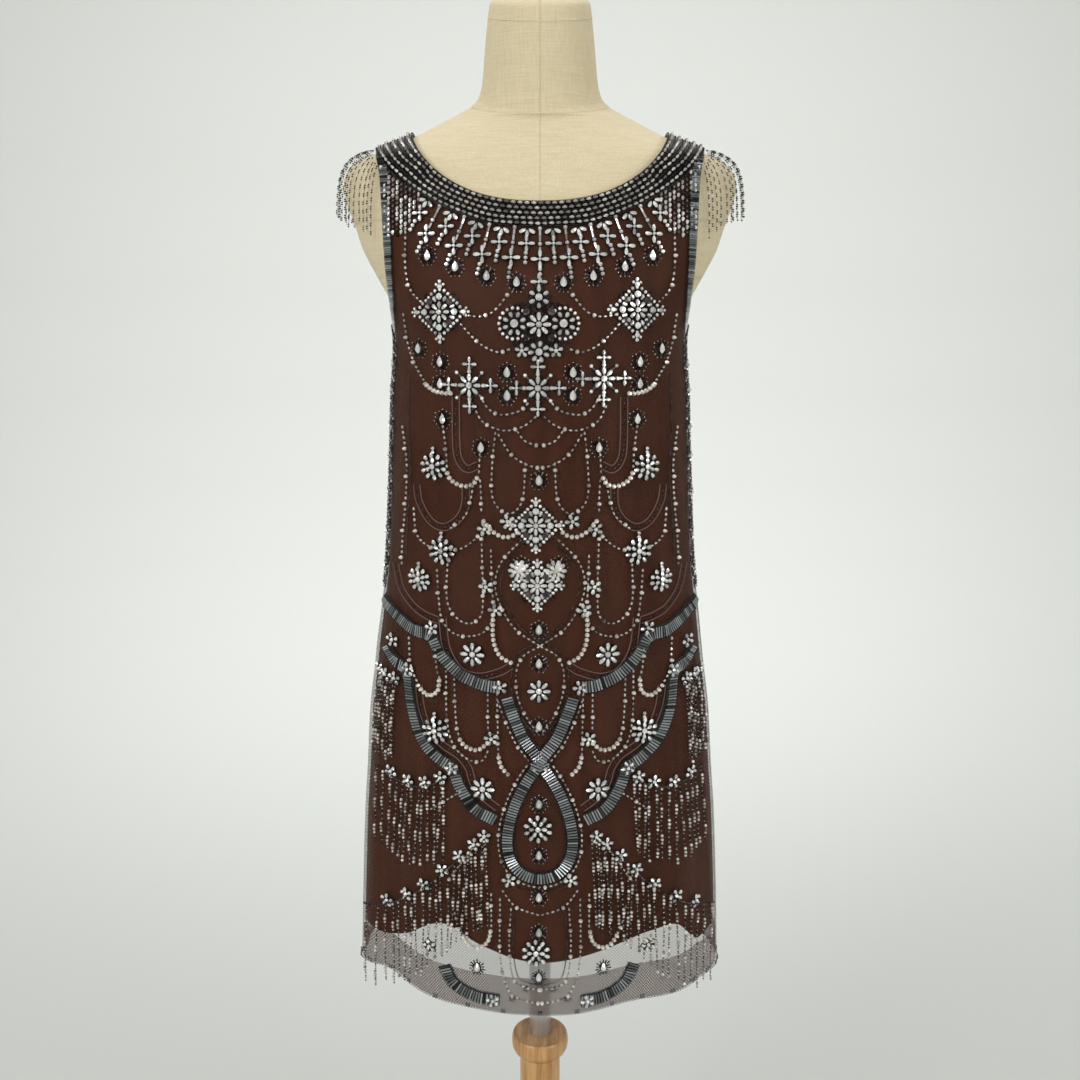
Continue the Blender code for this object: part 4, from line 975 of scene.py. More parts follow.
# %% Motifs on the net
BURSTS = ((117, 1205), (95, 1193), (95, 1172), (80, 1282), (107, 1293), (50, 1273), (22, 1267), (31, 1184),
          (31, 1162), (56, 1112), (93, 1138), (18, 998), (64, 576))
MIDDLE_BURSTS = (1081, 934, 900, 836, 755, 701, 656, 618, 569)
CLUSTERS = ((103, 1091, 0.95), (95.5, 1008, 0.95), (119, 976, 0.85), (104, 824, 0.95))
SMALL_FLOWERS = ((31, 1041), (53, 1033), (52, 976), (43, 953), (48, 822), (31, 674), (113, 591), (106, 929),
                 (39, 875), (88, 787), (150, 905), (133, 880), (48, 541))
DAISIES = ((66, 907), (57, 769))
MEDALLIONS = ((-94.5, 1240.5), (91.5, 1242.5))
SNOWFLAKES = ((-66.5, 1171.5), (60, 1178), (-2, 1169.5))

for side in SIDES:
    for hand in (-1, 1):
        for x, z in BURSTS:
            burst((hand * x, z), side)
        for x, z, size in CLUSTERS:
            cluster((hand * x, z), side, size, 30 * hand)
            stem((hand * x, z), side, (90,), (15 * size, 19 * size))
        for x, z in SMALL_FLOWERS:
            small_flower((hand * x, z), side, turn=40 * hand)
        for x, z in DAISIES:
            daisy((hand * x, z), side)
    for z in MIDDLE_BURSTS:
        burst((-1, z), side)
    daisy((-1, 872), side, 0.95)
    cluster((-2, 729), side, 1.05)
    cluster((-4, 596), side, 1.05)
for x, z in MEDALLIONS:
    medallion((x, z), FRONT)
    stem((x, z), FRONT, (90, 270), (24.5, 28.5))
for x, z in SNOWFLAKES:
    snowflake((x, z), FRONT)
wide_medallion((-1, 1228.5), FRONT)
medallion((-4, 1037.5), FRONT, 0.95)
medallion((-2.5, 978.5), FRONT, 0.90)
for hand in (-1, 1):
    cluster((-2.5 + hand * 17.5, 993), FRONT, 0.7, 15)
print("motifs laid in", len(trays), "trays")

# %% [markdown]
# ## Threads
#
# Four kinds of thread hang in swags and long loops between the motifs: silver-lined rice beads with a larger
# round one now and then, a row of round rhinestones, a line of dark seeds, and a pair of mauve soutache cords.

# %% Threads of beads
def patterns(side):
    """The repeating patterns of the threads of one side: tray, shape, length, width, tone."""
    silver, dark = f"silver_threads_{SIDES[side]}", f"dark_seeds_{SIDES[side]}"
    rice = ((silver, "petal", 3.8, 2.6, 0.6), (dark, "seed", 1.7, 2.3, 0.3))
    return {
        "rice": rice * 4 + ((silver, "stone", 4.4, 4.6, 0.9), (dark, "seed", 1.7, 2.3, 0.3)),
        "rhinestones": ((silver, "stone", 5.0, 5.0, 0.95),),
        "seeds": ((dark, "seed", 2.2, 2.2, 0.45),),
    }


THREADS = (
    # kind, places
    ("rice", ((73, 1238), (56, 1236), (43, 1241), (30, 1256))),
    ("rice", ((75, 1230), (62, 1216), (50, 1207), (38, 1203), (28, 1206))),
    ("rice", ((129, 1318), (129, 1282), (124, 1262), (113, 1250))),
    ("rice", ((133, 1240), (128, 1208), (120, 1188), (109, 1171))),
    ("rhinestones", ((109, 1171), (100, 1165), (88, 1163), (80, 1164))),
    ("rice", ((57, 1163), (49, 1150), (37, 1144), (19, 1148), (9, 1158))),
    ("rice", ((63, 1153), (54, 1137), (35, 1129), (16, 1133), (2, 1144))),
    ("rice", ((22, 1129), (14, 1119), (0, 1114))),
    ("rice", ((40, 1126), (28, 1107), (14, 1097), (0, 1093))),
    ("rice", ((42, 1128), (45, 1100), (46, 1071), (42, 1057), (31, 1049), (22, 1053), (16, 1066), (14, 1098))),
    ("rice", ((93, 1133), (90, 1109), (89, 1088))),
    ("rhinestones", ((89, 1088), (84, 1079), (72, 1074), (62, 1078), (58, 1087))),
    ("rice", ((58, 1087), (57, 1107))),
    ("rice", ((57, 1082), (56, 1062), (56, 1047))),
    ("rhinestones", ((55, 1043), (46, 1032), (35, 1026), (25, 1028), (19, 1034))),
    ("rice", ((124, 1048), (121, 1022), (110, 1012), (96, 1010), (77, 1012), (63, 1022), (54, 1032))),
    ("rice", ((63, 1082), (66, 1063), (72, 1045), (88, 1030))),
    ("rice", ((100, 990), (98, 960), (95, 940), (86, 928), (71, 925), (54, 931), (45, 948), (46, 975), (47, 1012))),
    ("rice", ((89, 997), (90, 962), (84, 946), (71, 938), (59, 944), (55, 961), (56, 1028))),
    ("rice", ((17, 1024), (36, 1003), (43, 982), (39, 960), (24, 935), (0, 918))),
    ("seeds", ((14, 1020), (31, 1001), (38, 982), (34, 961), (20, 938), (0, 922))),
    ("rice", ((0, 918), (16, 908), (23, 892), (22, 867), (13, 845), (0, 827))),
    ("seeds", ((0, 923), (20, 911), (27.5, 892), (26.5, 866), (17, 843), (3, 826))),
    ("rhinestones", ((45, 951), (45, 924), (39, 908), (28, 901))),
    ("rice", ((131, 915), (129, 885), (119, 865))),
    ("rhinestones", ((119, 865), (109, 860), (100, 866), (98, 878))),
    ("rice", ((98, 878), (101, 890), (102, 912))),
    ("rice", ((84, 882), (83, 841), (80, 821))),
    ("rhinestones", ((80, 821), (73, 812), (61, 810), (51, 818))),
    ("rice", ((51, 869), (51, 829))),
    ("rice", ((42, 870), (41, 806))),
    ("rhinestones", ((41, 806), (38, 794), (31, 786))),
    ("rice", ((92, 889), (92, 842), (87, 815), (72, 799), (57, 799), (51, 810))),
    ("rice", ((88, 640), (84, 622), (79, 611))),
    ("rhinestones", ((79, 611), (70, 600), (60, 600), (52, 608), (49, 622))),
    ("rice", ((49, 622), (49, 660))),
    ("rice", ((29, 645), (31, 603), (27, 568), (15, 558), (0, 556))),
    ("seeds", ((25, 645), (27, 605), (23, 572), (12, 563), (0, 561))),
    ("rice", ((40, 655), (40, 588), (31, 553), (15, 543), (0, 541))),
    ("rice", ((38, 664), (24, 646), (0, 637))),
    ("seeds", ((34, 672), (21, 666), (0, 663))),
    ("rice", ((62, 712), (78, 690), (92, 668))),
    ("rice", ((78, 765), (95, 752), (110, 740))),
    ("rice", ((136, 1128), (131, 1090), (133, 1050), (137, 1010), (138, 985))),
    ("seeds", ((127, 1180), (129, 1130), (127, 1080), (131, 1030), (133, 990))),
)
for side in SIDES:
    laid = patterns(side)
    for kind, places in THREADS:
        thread_on(places, side, laid[kind])
print("threads laid:", len(THREADS) * 4)


# %% [markdown]
# Soutache is a narrow braid sewn down as a line. Two lines run side by side with seeds between them. Each is a
# small tube: a ring of points carried along the line.

# %% Soutache
SOUTACHE = (
    ((80, 1160), (80, 1120), (78, 1101), (70, 1091), (59, 1095)),
    ((121, 1071), (118, 1054), (107, 1037), (93, 1032), (79, 1041), (72, 1055), (71, 1074)),
    ((146, 985), (140, 963), (128, 949), (113, 941), (99, 938)),
    ((95, 941), (91, 910), (78, 890), (60, 885), (39, 891), (28, 898)),
    ((121, 868), (118.5, 846), (110, 825), (97, 811), (80, 801), (71, 789), (66, 773), (55, 760), (42, 750)),
)
SOUTACHE_APART, SOUTACHE_WIDE, CORD_LIFT, CORD_CORNERS = 7.0, 1.3, 0.0006, 5


def beside(line, distance):
    """The line moved sideways in the plane of the front view, by a distance in metres."""
    ahead = np.gradient(line, axis=0)
    ahead /= np.linalg.norm(ahead, axis=1, keepdims=True)
    return line + distance * np.stack([-ahead[:, 1], ahead[:, 0]], -1)


def cord_points(points, out, radius, corners=CORD_CORNERS):
    """Rings of corners round a line: radius (cos a sideways + sin a out) at every point."""
    ahead = np.gradient(points, axis=0)
    ahead /= np.linalg.norm(ahead, axis=1, keepdims=True)
    sideways = np.cross(out, ahead)
    turn = np.arange(corners) * 2 * math.pi / corners
    ring = np.cos(turn)[:, None] * sideways[:, None] + np.sin(turn)[:, None] * out[:, None]
    return points[:, None] + radius * ring


def tube_faces(rings, corners, start):
    """Four-cornered faces of a tube of rings."""
    i, k = np.meshgrid(np.arange(rings - 1), np.arange(corners), indexing="ij")
    a, b = i * corners + k, i * corners + (k + 1) % corners
    return start + np.stack([a, b, b + corners, a + corners], -1).reshape(-1, 4)


for side, place_name in SIDES.items():
    rows, faces, start = [], [], 0
    for places in SOUTACHE:
        for hand in (-1, 1):
            line = smooth_line([(hand * x, z) for x, z in places])
            for away in (-0.5, 0.5):
                edge = beside(line, away * SOUTACHE_APART / 1000)
                cord = cord_points(*on_net(*edge.T, side, CORD_LIFT), SOUTACHE_WIDE / 2000)
                rows.append(cord.reshape(-1, 3))
                faces.append(tube_faces(len(cord), CORD_CORNERS, start))
                start += len(rows[-1])
            spaced = ((f"dark_seeds_{place_name}", "seed", 2.4, 2.2, 0.55), (None, None, 2.6, 0, 0))
            string_beads(*on_net(*line.T, side), spaced)
    add_mesh(f"soutache_{place_name}", np.concatenate(rows), np.concatenate(faces), FINISHES["soutache"],
             "fringe_bead")
print("soutache cords:", len(SOUTACHE) * 8)

# %% [markdown]
# ## Bugle ribbons
#
# The broad grey bands are bugle beads sewn crosswise, side by side, on a narrow dark braid, with a line of
# seeds along both edges. The braid is a strip that follows the same line as the beads, and shows as dark gaps
# between them. Where the two arms cross over the teardrop, one lies above the other.

# %% Lines of the ribbons
RIBBONS = (
    ((162, 942), (147, 934), (127, 924), (107, 920.5), (96, 903), (77.5, 886), (56.5, 877.5), (40, 875.5)),
    ((158, 895), (148, 885), (134.5, 877.5), (130, 848), (121, 818.5), (105, 799.5), (87.5, 787.5), (79.5, 769),
     (66, 749), (45.5, 738)),
    ((98, 573), (88, 555), (66, 544.5), (41, 542)),
)
CROSSING_ARM = ((32.5, 865.5), (27, 849), (17, 825), (7.2, 811), (0, 801.5), (-5, 791.5))
TEARDROP_TOP, TEARDROP_LOW, TEARDROP_HALF = 796, 676.5, 37


def teardrop():
    """An open teardrop from its left tip: x = 1.12 half sin(pi t^1.15) t^0.45, z falls as (1 - cos(pi t)) / 2."""
    t = np.linspace(0.13, 1, 13)
    x = 1.12 * TEARDROP_HALF * np.sin(math.pi * t ** 1.15) * t ** 0.45
    z = TEARDROP_TOP - (TEARDROP_TOP - TEARDROP_LOW) * (1 - np.cos(math.pi * t)) / 2
    return list(zip(-x, z)) + list(zip(x[-2::-1], z[-2::-1]))


print("ribbon lines:", len(RIBBONS) + 1, "in mirrored pairs, and the teardrop's", len(teardrop()), "places")

# %% [markdown]
# The braid under a ribbon is a flat strip with four edges, closed at both ends. Its faces are turned outward
# afterwards, since a strip that is mirrored would otherwise be inside out.

# %% Strips of braid
def strip_between(one, other, side, low, high):
    """Points and faces of a closed strip between two lines seen from the front, from a low lift to a high one."""
    rings = []
    for edge, lift in ((one, low), (one, high), (other, high), (other, low)):
        rings.append(on_net(*edge.T, side, lift)[0])
    points = np.stack(rings, 1).reshape(-1, 3)
    faces = tube_faces(len(one), 4, 0)
    ends = np.array([[0, 1, 2, 3], [3, 2, 1, 0]]) + np.array([[0], [4 * (len(one) - 1)]])
    return points, np.concatenate([faces, ends])


def outward(piece):
    """Recalculates a closed mesh's faces to point outward."""
    work = bmesh.new()
    work.from_mesh(piece.data)
    bmesh.ops.recalc_face_normals(work, faces=work.faces)
    work.to_mesh(piece.data)
    work.free()
    return piece


# %% [markdown]
# A bugle lies across the ribbon at every step along it. Widths and steps are in millimetres, lifts in metres.

# %% Bugle ribbons
RIBBON_WIDE, BUGLE_STEP, BUGLE_WIDE, BRAID_THICK = 12.5, 2.9, 1.9, 0.5
BRAID_LIFT, UPPER_ARM_LIFT = 0.0006, 0.0014
SEED_EDGE_AWAY, RICE_EDGE_AWAY = 0.9, 3.4


def ribbon(places, side, hand, braids, wide=RIBBON_WIDE, rice_edges=(), lift=0.0):
    """Bugles crosswise on a braid, edged with seeds, or with rice beads on the named edges, -1 or 1."""
    bugles, dark = f"bugles_{SIDES[side]}", f"dark_seeds_{SIDES[side]}"
    line = smooth_line([(hand * x, z) for x, z in places], 8)
    low = BRAID_LIFT + lift
    high = low + BRAID_THICK / 1000
    one, other = (beside(line, way * wide / 2000) for way in (-1, 1))
    braids.append(strip_between(one, other, side, low, high))
    points, out = on_net(*line.T, side, high)
    across_way = on_net(*other.T, side, high)[0] - on_net(*one.T, side, high)[0]
    run = run_along(points)
    at = np.arange(BUGLE_STEP / 2000, run[-1], BUGLE_STEP / 1000)
    middles, ways, outs = (read_along(at, run, rows) for rows in (points, across_way, out))
    half = np.array([wide / 2 - 0.5, BUGLE_WIDE / 2, BUGLE_WIDE / 2]) / 1000
    lay(bugles, "tube", middles + outs * half[2] * 0.9, ways, outs, half, 0.66, 0.34)
    for way in (-1, 1):
        edge = beside(line, way * (wide / 2 + SEED_EDGE_AWAY) / 1000)
        string_beads(*on_net(*edge.T, side), ((dark, "seed", 1.9, 1.7, 0.35),))
        if way in rice_edges:
            outer = beside(line, way * (wide / 2 + RICE_EDGE_AWAY) / 1000)
            string_beads(*on_net(*outer.T, side), patterns(side)["rice"])


for side, place_name in SIDES.items():
    braids = []
    for hand in (-1, 1):
        for places in RIBBONS:
            ribbon(places, side, hand, braids)
        ribbon(CROSSING_ARM, side, hand, braids, RIBBON_WIDE * 0.95, (hand,), UPPER_ARM_LIFT * (hand > 0))
    ribbon(teardrop(), side, 1, braids, RIBBON_WIDE * 0.9, (-1,))
    starts = np.cumsum([0] + [len(points) for points, _ in braids[:-1]])
    braid = add_mesh(f"braid_{place_name}", np.concatenate([points for points, _ in braids]),
                     np.concatenate([faces + start for (_, faces), start in zip(braids, starts)]),
                     FINISHES["braid"], "bugle_bead", smooth=False)
    outward(braid)
print("bugles:", sum(len(row[1]) for row in trays["bugles_front"]))


# %% [markdown]
# ## Neck band, straps and side edges
#
# The neckline carries a stiff braid covered with five rows of pointed beads, laid like bricks, with lines of
# seeds between the rows. Its upper edge is the neckline; its lower edge is a curve of its own.

# %% The braid of the neck band
BAND_LOWER = ((0, 1319), (42.5, 1321.5), (67, 1328.5), (92, 1339), (107.5, 1348), (127, 1360), (143, 1373),
              (159, 1391), (165.5, 1402.1))
BAND_ROWS, LINES_A_ROW, BAND_THICK = 5, 4, 0.0012


def band_lines():
    """Upper and lower edge of the band as (u, z), from the middle of the neckline to the shoulder ridge."""
    neck_u = np.linspace(0, STRAP_U, 80)
    neck_z = find_height(np.minimum(neck_u, STRAP_U - 1e-6), neckline_height, 1.30, 1.40)
    ridge = find_height(np.array([STRAP_U]), ridge_height, STRAP_Z, 1.425)[0]
    strap_z = ridge - (ridge - STRAP_Z) * (1 - np.linspace(0, 1, 80)[1:]) ** 2
    upper = np.concatenate([neck_u, np.full(79, STRAP_U)]), np.concatenate([neck_z, strap_z])
    line = smooth_line(BAND_LOWER, 18)
    line[:, 1] = np.minimum(line[:, 1], ridge_height(line[:, 0]) - 0.0002)
    return upper, (place_u(line[:, 0], line[:, 1]), line[:, 1])


def even_line(u, z, side, count):
    """The same line cut into even lengths in space."""
    run = run_along(cloth(u, z, side, net_lift(z))[0])
    at = np.linspace(0, run[-1], count)
    return np.interp(at, run, u), np.interp(at, run, z)


def band_grid(side, lift, count=90):
    """Points and directions of a grid over the band: along it, and across it from the neckline down."""
    (one_u, one_z), (other_u, other_z) = (even_line(u, z, side, count) for u, z in band_lines())
    share = np.linspace(0, 1, LINES_A_ROW * BAND_ROWS + 1)
    u = one_u[:, None] * (1 - share) + other_u[:, None] * share
    z = one_z[:, None] * (1 - share) + other_z[:, None] * share
    u, z = np.concatenate([-u[:0:-1], u]), np.concatenate([z[:0:-1], z])
    return cloth(u, z, side, net_lift(z) + lift)


for side, place_name in SIDES.items():
    points, out = band_grid(side, BAND_THICK)
    rows = points.shape[1]
    faces = grid_faces(cells(len(points), rows).ravel(), rows, side)
    braid = add_mesh(f"neck_braid_{place_name}", points.reshape(-1, 3), faces, FINISHES["gunmetal"], "bead_band")
    thicken(braid, BAND_THICK * 0.8)
    dark = f"dark_seeds_{place_name}"
    rice = ((f"neck_rice_{place_name}", "petal", 5.6, 3.5, 0.5), (dark, "seed", 1.0, 2.2, 0.3))
    for row in range(BAND_ROWS):
        k = LINES_A_ROW * row + LINES_A_ROW // 2
        string_beads(points[:, k], out[:, k], rice, (row % 2) * -0.0032)
    for k in range(0, rows, LINES_A_ROW):
        string_beads(points[:, k], out[:, k], ((dark, "seed", 2.0, 1.6, 0.4),))
print("rows of beads on the neck band:", BAND_ROWS)

# %% [markdown]
# Under the band a sunray of short drops points down. Odd ones start with three petals and go on with a cross
# and round stones; even ones are a thin line of bugles that ends in a cross. The drops fan out: each leans
# 3.4 degrees more than the one before it.

# %% Sunray drops
DROP_COUNT, DROP_STEP, DROP_FAN = 10, 12.0, 3.4
for side, place_name in SIDES.items():
    stones, dark = names_of(side)
    for hand in (-1, 1):
        for k in range(0 if hand > 0 else 1, DROP_COUNT):
            x = k * DROP_STEP
            z = float(np.interp(x, *np.array(BAND_LOWER).T)) - 3
            fan = math.radians(k * DROP_FAN)
            down = 270 + hand * k * DROP_FAN

            def spot(away):
                """Place on the drop at a distance from its root."""
                return hand * (x + away * math.sin(fan)), z - away * math.cos(fan)

            if k % 2:
                for lean in (-58, 0, 58):
                    ring_of(stones, "petal", spot(-1), side, 5.2, [down + lean], (7.4, 4.8, 3.4), 0.9)
                ring_of(dark, "seed", spot(-1), side, 6.0, [down - 29, down + 29], (3.0, 2.4, 1.8), 0.3)
                cross(spot(13.5), side, 0.95)
                for away in (22.5, 27, 31.5):
                    ring_of(stones, "stone", spot(away), side, 0, [0], (4.2, 4.2, 3.4), 0.85)
            else:
                for away in (3, 8.5, 19):
                    ring_of(stones, "tube", spot(away), side, 0, [down], (5.2, 2.2, 2.0), 0.5)
                for away in (-1, 13.5):
                    ring_of(stones, "stone", spot(away), side, 0, [0], (4.2, 4.2, 3.4), 0.9)
                cross(spot(27.5), side, 1.05)
                for away in (37, 41.5, 46):
                    ring_of(stones, "stone", spot(away), side, 0, [0], (4.2, 4.2, 3.4), 0.85)
print("sunray drops on each side:", 2 * DROP_COUNT - 1)

# %% [markdown]
# Between the band and the armhole the strap is covered with stones set close together. Down the side the
# armhole's edge is a band of dark bugles sewn crosswise, and lines of mixed seeds go on from it to the hip.

# %% Straps and side edges
STRAP_FIELD_LOW, STRAP_FIELD_X, STONE_ROW, STONE_STEP = 1.314, 0.1145, 0.0050, 0.0043
TRIM_WIDE, TRIM_STEP, TRIM_LIFT, BUGLES_LOW = 0.011, 0.0021, 0.0004, 1.225
SIDE_LINES, SIDE_LOW, SIDE_TOP, SIDE_U, SIDE_LINE_APART = 6, 0.952, 1.232, 0.992, 0.036
SIDE_FLOWERS, SIDE_FLOWER_U = (1186, 1160, 1122, 1092, 1052, 1010, 972), 0.93
for side, place_name in SIDES.items():
    stones, dark = names_of(side)
    for hand in (-1, 1):
        # The strap's stones lie in rows; every other column is moved by half a row.
        columns = np.arange(0.112, 0.158, STONE_STEP)
        z, across_x = np.meshgrid(np.arange(STRAP_FIELD_LOW, 1.400, STONE_ROW), columns)
        z = z + STONE_ROW / 2 * (np.round(across_x / STONE_STEP) % 2)
        low_edge = np.interp(across_x, *(np.array(BAND_LOWER).T / 1000))
        keep = (z < low_edge - 0.001) & (across_x < smooth_table(ARMHOLE, 1, z) - 0.003)
        keep &= across_x > STRAP_FIELD_X + 0.5 * np.maximum(1.345 - z, 0)
        x, z = hand * across_x[keep], z[keep]
        points, out = on_net(x, z, side)
        pale = dice.random(len(x)) < 0.6
        half, upright = np.array([2.5, 2.0, 1.7]) / 1000, np.array([0.2, 0, 1.0])
        lay(stones, "petal", points[pale] + out[pale] * 0.0012, upright, out[pale], half, 0.65, 0.3)
        lay(dark, "oval", points[~pale] + out[~pale] * 0.0010, upright, out[~pale], half * 0.9, 0.5)

        # The armhole's edge is a ladder of bugles, each laid across it.
        z = np.arange(BUGLES_LOW, 1.390, TRIM_STEP)
        u_edge = place_u(hand * (edge_x(z) - TRIM_WIDE / 2), z)
        points, out = cloth(u_edge, z, side, net_lift(z) + TRIM_LIFT)
        ahead, _ = cloth(u_edge + 0.01, z, side, net_lift(z) + TRIM_LIFT)
        half = np.array([TRIM_WIDE * 0.46, 0.0010, 0.0010])
        lay(f"side_bugles_{place_name}", "tube", points + out * 0.001, ahead - points, out, half, 0.4, 0.3)
        # Past the underarm the edge is a bundle of mixed seed lines that follows the side seam.
        for line in range(SIDE_LINES):
            fine = np.arange(SIDE_LOW, SIDE_TOP - 0.004 * line, 0.004)
            u = hand * (SIDE_U - SIDE_LINE_APART * line + 0.006 * np.sin(fine * 90 + 2 * line))
            points, out = cloth(u, fine, side, net_lift(fine))
            mixed = ((dark, "seed", 2.2, 2.4, 0.5), (dark, "oval", 3.2, 2.6, 0.7), (dark, "seed", 2.2, 2.4, 0.3),
                     (stones, "oval", 3.2, 2.8, 0.3), (dark, "seed", 2.2, 2.4, 0.6))
            string_beads(points, out, mixed, -0.002 * line)
        for z in SIDE_FLOWERS:
            x = 1000 * float(across(np.array([SIDE_FLOWER_U]), np.array([z / 1000]))[0])
            ring_of(stones, "petal", (hand * x, z), side, 4.2, even_turns(5, 20), (5.0, 4.0, 3.2), 0.35)
            ring_of(stones, "stone", (hand * x, z), side, 0, [0], (4.0, 4.0, 3.8), 0.8)
print("bugles along the front's side edges:", sum(len(row[1]) for row in trays["side_bugles_front"]))

# %% [markdown]
# ## Fringe
#
# Fringe is a row of threads that carry seeds, with a pale drop now and then, sewn by their upper ends only. The
# tiers hang from swags of seeds and small flowers. Each strand goes straight down over the cloth, with a
# slight sway of its own.

# %% Tiers of fringe
ROOT_LIFT, STRAND_LIFT, STRAND_SWAY = 0.0012, 0.0014, 0.0012
TIERS = (
    # root line in mm, strands, hang in mm, height that none passes
    (((144.5, 862), (152, 862), (160, 862.5), (166, 864)), 8, 84, 600),
    (((93, 776), (108, 767), (128, 760), (150, 760.5), (170, 766)), 13, 85, 600),
    (((51, 719.5), (66, 706), (89, 684), (116, 655), (147, 628), (186, 600)), 22, 95, 490),
)
for side, place_name in SIDES.items():
    tray, dark = f"fringe_{place_name}", f"dark_seeds_{place_name}"
    silver = f"fringe_drops_{place_name}"
    strand = ((tray, "seed", 2.1, 2.5, 0.3), (silver, "seed", 1.5, 1.8, 0.7), (tray, "seed", 2.1, 2.5, 0.3)) * 3
    strand += ((silver, "oval", 4.2, 3.8, 0.5), (silver, "oval", 4.2, 4.0, 0.4), (silver, "oval", 3.6, 3.4, 0.5))
    period = sum(entry[2] for entry in strand) / 1000
    for root, count, hang, floor in TIERS:
        for hand in (-1, 1):
            line = smooth_line([(hand * x, z) for x, z in root])
            roots = on_net(*line.T, side, ROOT_LIFT)
            string_beads(*roots, ((dark, "oval", 2.6, 2.6, 0.4), (dark, "seed", 2.0, 2.0, 0.7)))
            run = np.linspace(0, 1, len(line))
            for k in range(count):
                share = (k + 0.5) / count
                x, z = (float(np.interp(share, run, line[:, axis])) for axis in (0, 1))
                if k % 3 == 1:
                    small_flower((1000 * x, 1000 * z + 4), side, 0.95, 20 * k)
                low = max(z - hang / 1000 * (0.93 + 0.1 * dice.random()), floor / 1000)
                fall = np.linspace(z, low, 40)
                sway = STRAND_SWAY * np.sin((z - fall) * 30 + 6 * dice.random()) / 0.2
                u = place_u(np.array([x]), np.array([z])) + sway
                hanging = cloth(np.clip(u, -1, 1), fall, side, net_lift(fall) + STRAND_LIFT)
                string_beads(*hanging, strand, -period * dice.random())
print("strands in the tiers:", 4 * sum(count for _, count, _, _ in TIERS))

# %% [markdown]
# On the shoulders the fringe is sewn to the strap's outer edge. It falls over the form's shoulder, so a strand
# in the middle first goes outward and then down, and one at the front or back hangs along the chest. Each
# table below holds how far out and how far down a strand's points lie, in millimetres; the others lie between.

# %% Shoulder fringe
SHOULDER_STRANDS, SHOULDER_REACH, SHOULDER_SPREAD_DEGREES = 23, 0.020, 75
FALL_OVER = ((0, 0), (10, 1.5), (20, 5.5), (30, 12.5), (37, 24), (41, 42), (43, 70))
FALL_CHEST = ((0, 0), (1.5, 6), (2.5, 12), (3.5, 22), (4.5, 34), (5.5, 50), (6, 70))


def clear_of_form(points, side, room=0.0032):
    """Moves points out along y until they lie clear of the form."""
    half, depth, centre = section(FORM, points[:, 2], side)
    share = np.clip(np.abs(points[:, 0]) / half, 0, 1)
    least = np.where(share < 1, depth * np.sqrt(1 - share ** ROUNDNESS) + room, 0)
    moved = points.copy()
    moved[:, 1] = centre + side * np.maximum(side * (points[:, 1] - centre), least)
    return moved


for hand in (-1, 1):
    ridge = float(ridge_height(np.array([ARMHOLE[-1][1]]))[0])
    tray, drops = f"shoulder_fringe_{HANDS[hand]}", f"shoulder_drops_{HANDS[hand]}"
    strand = ((tray, "seed", 2.2, 2.6, 0.25),) * 2 + ((drops, "seed", 1.8, 1.8, 0.7),) * 2
    for s in np.linspace(-1, 1, SHOULDER_STRANDS):
        side = FRONT if s <= 0 else BACK
        z = ridge - SHOULDER_REACH * s * s - 0.0008
        root, _ = cloth(float(hand), z, side, net_lift(z) - 0.0005)
        angle = s * math.radians(SHOULDER_SPREAD_DEGREES)
        away = np.array([hand * math.cos(angle), math.sin(angle), 0])
        over = math.cos(angle) ** 2
        fall = over * np.array(FALL_OVER) + (1 - over) * np.array(FALL_CHEST)
        fall = fall * [0.86 + 0.14 * dice.random(), 1]
        fall = smooth_line(fall, 8)
        length = 0.90 + 0.12 * dice.random()
        points = root + away * 0.002 + np.column_stack([hand * fall[:, 0], 0 * fall[:, 0], -fall[:, 1] * length])
        points[:, 1] += 0.0015 * np.sin(40 * fall[:, 1] + 6 * dice.random())
        points = clear_of_form(points, side)
        string_beads(points, np.broadcast_to(away, points.shape), strand, -0.006 * dice.random())
print("strands on the shoulders:", 2 * SHOULDER_STRANDS)

# %% [markdown]
# ## Hem edge
#
# The net's lower edge is rolled and caught with a line of tiny seeds, with a small flower of seeds every
# 30 mm or so, and an arch of five more over the middle.

# %% Hem edge
HEM_FLOWERS, MIDDLE_FLOWERS = 17, ((-28, 545), (-14, 556), (0, 559), (14, 556), (28, 545))
for side, place_name in SIDES.items():
    tray = f"dark_seeds_{place_name}"
    u = np.linspace(-1, 1, 300)
    z = smooth_table(NET_HEM[side], 1, u) + 0.0008
    string_beads(*cloth(u, z, side, net_lift(z)), ((tray, "seed", 1.7, 1.5, 0.5), (None, None, 1.9, 0, 0)))
    for u0 in np.linspace(-0.97, 0.97, HEM_FLOWERS):
        z0 = float(smooth_table(NET_HEM[side], 1, np.array([u0]))[0]) + 0.002
        x0 = float(across(np.array([u0]), np.array([z0]))[0])
        ring_of(tray, "oval", (1000 * x0, 1000 * z0 + 1.5), side, 1.8, even_turns(4, 45), (2.6, 2.2, 2.0), 0.5)
    for spot in MIDDLE_FLOWERS:
        ring_of(tray, "oval", spot, side, 2.6, even_turns(5), (3.4, 2.2, 2.0), 0.35)
print("seed flowers on each hem:", HEM_FLOWERS + len(MIDDLE_FLOWERS))

# %% [markdown]
# Now every tray becomes a mesh. Each stands in for the CAD solids whose form it gives in finer detail.

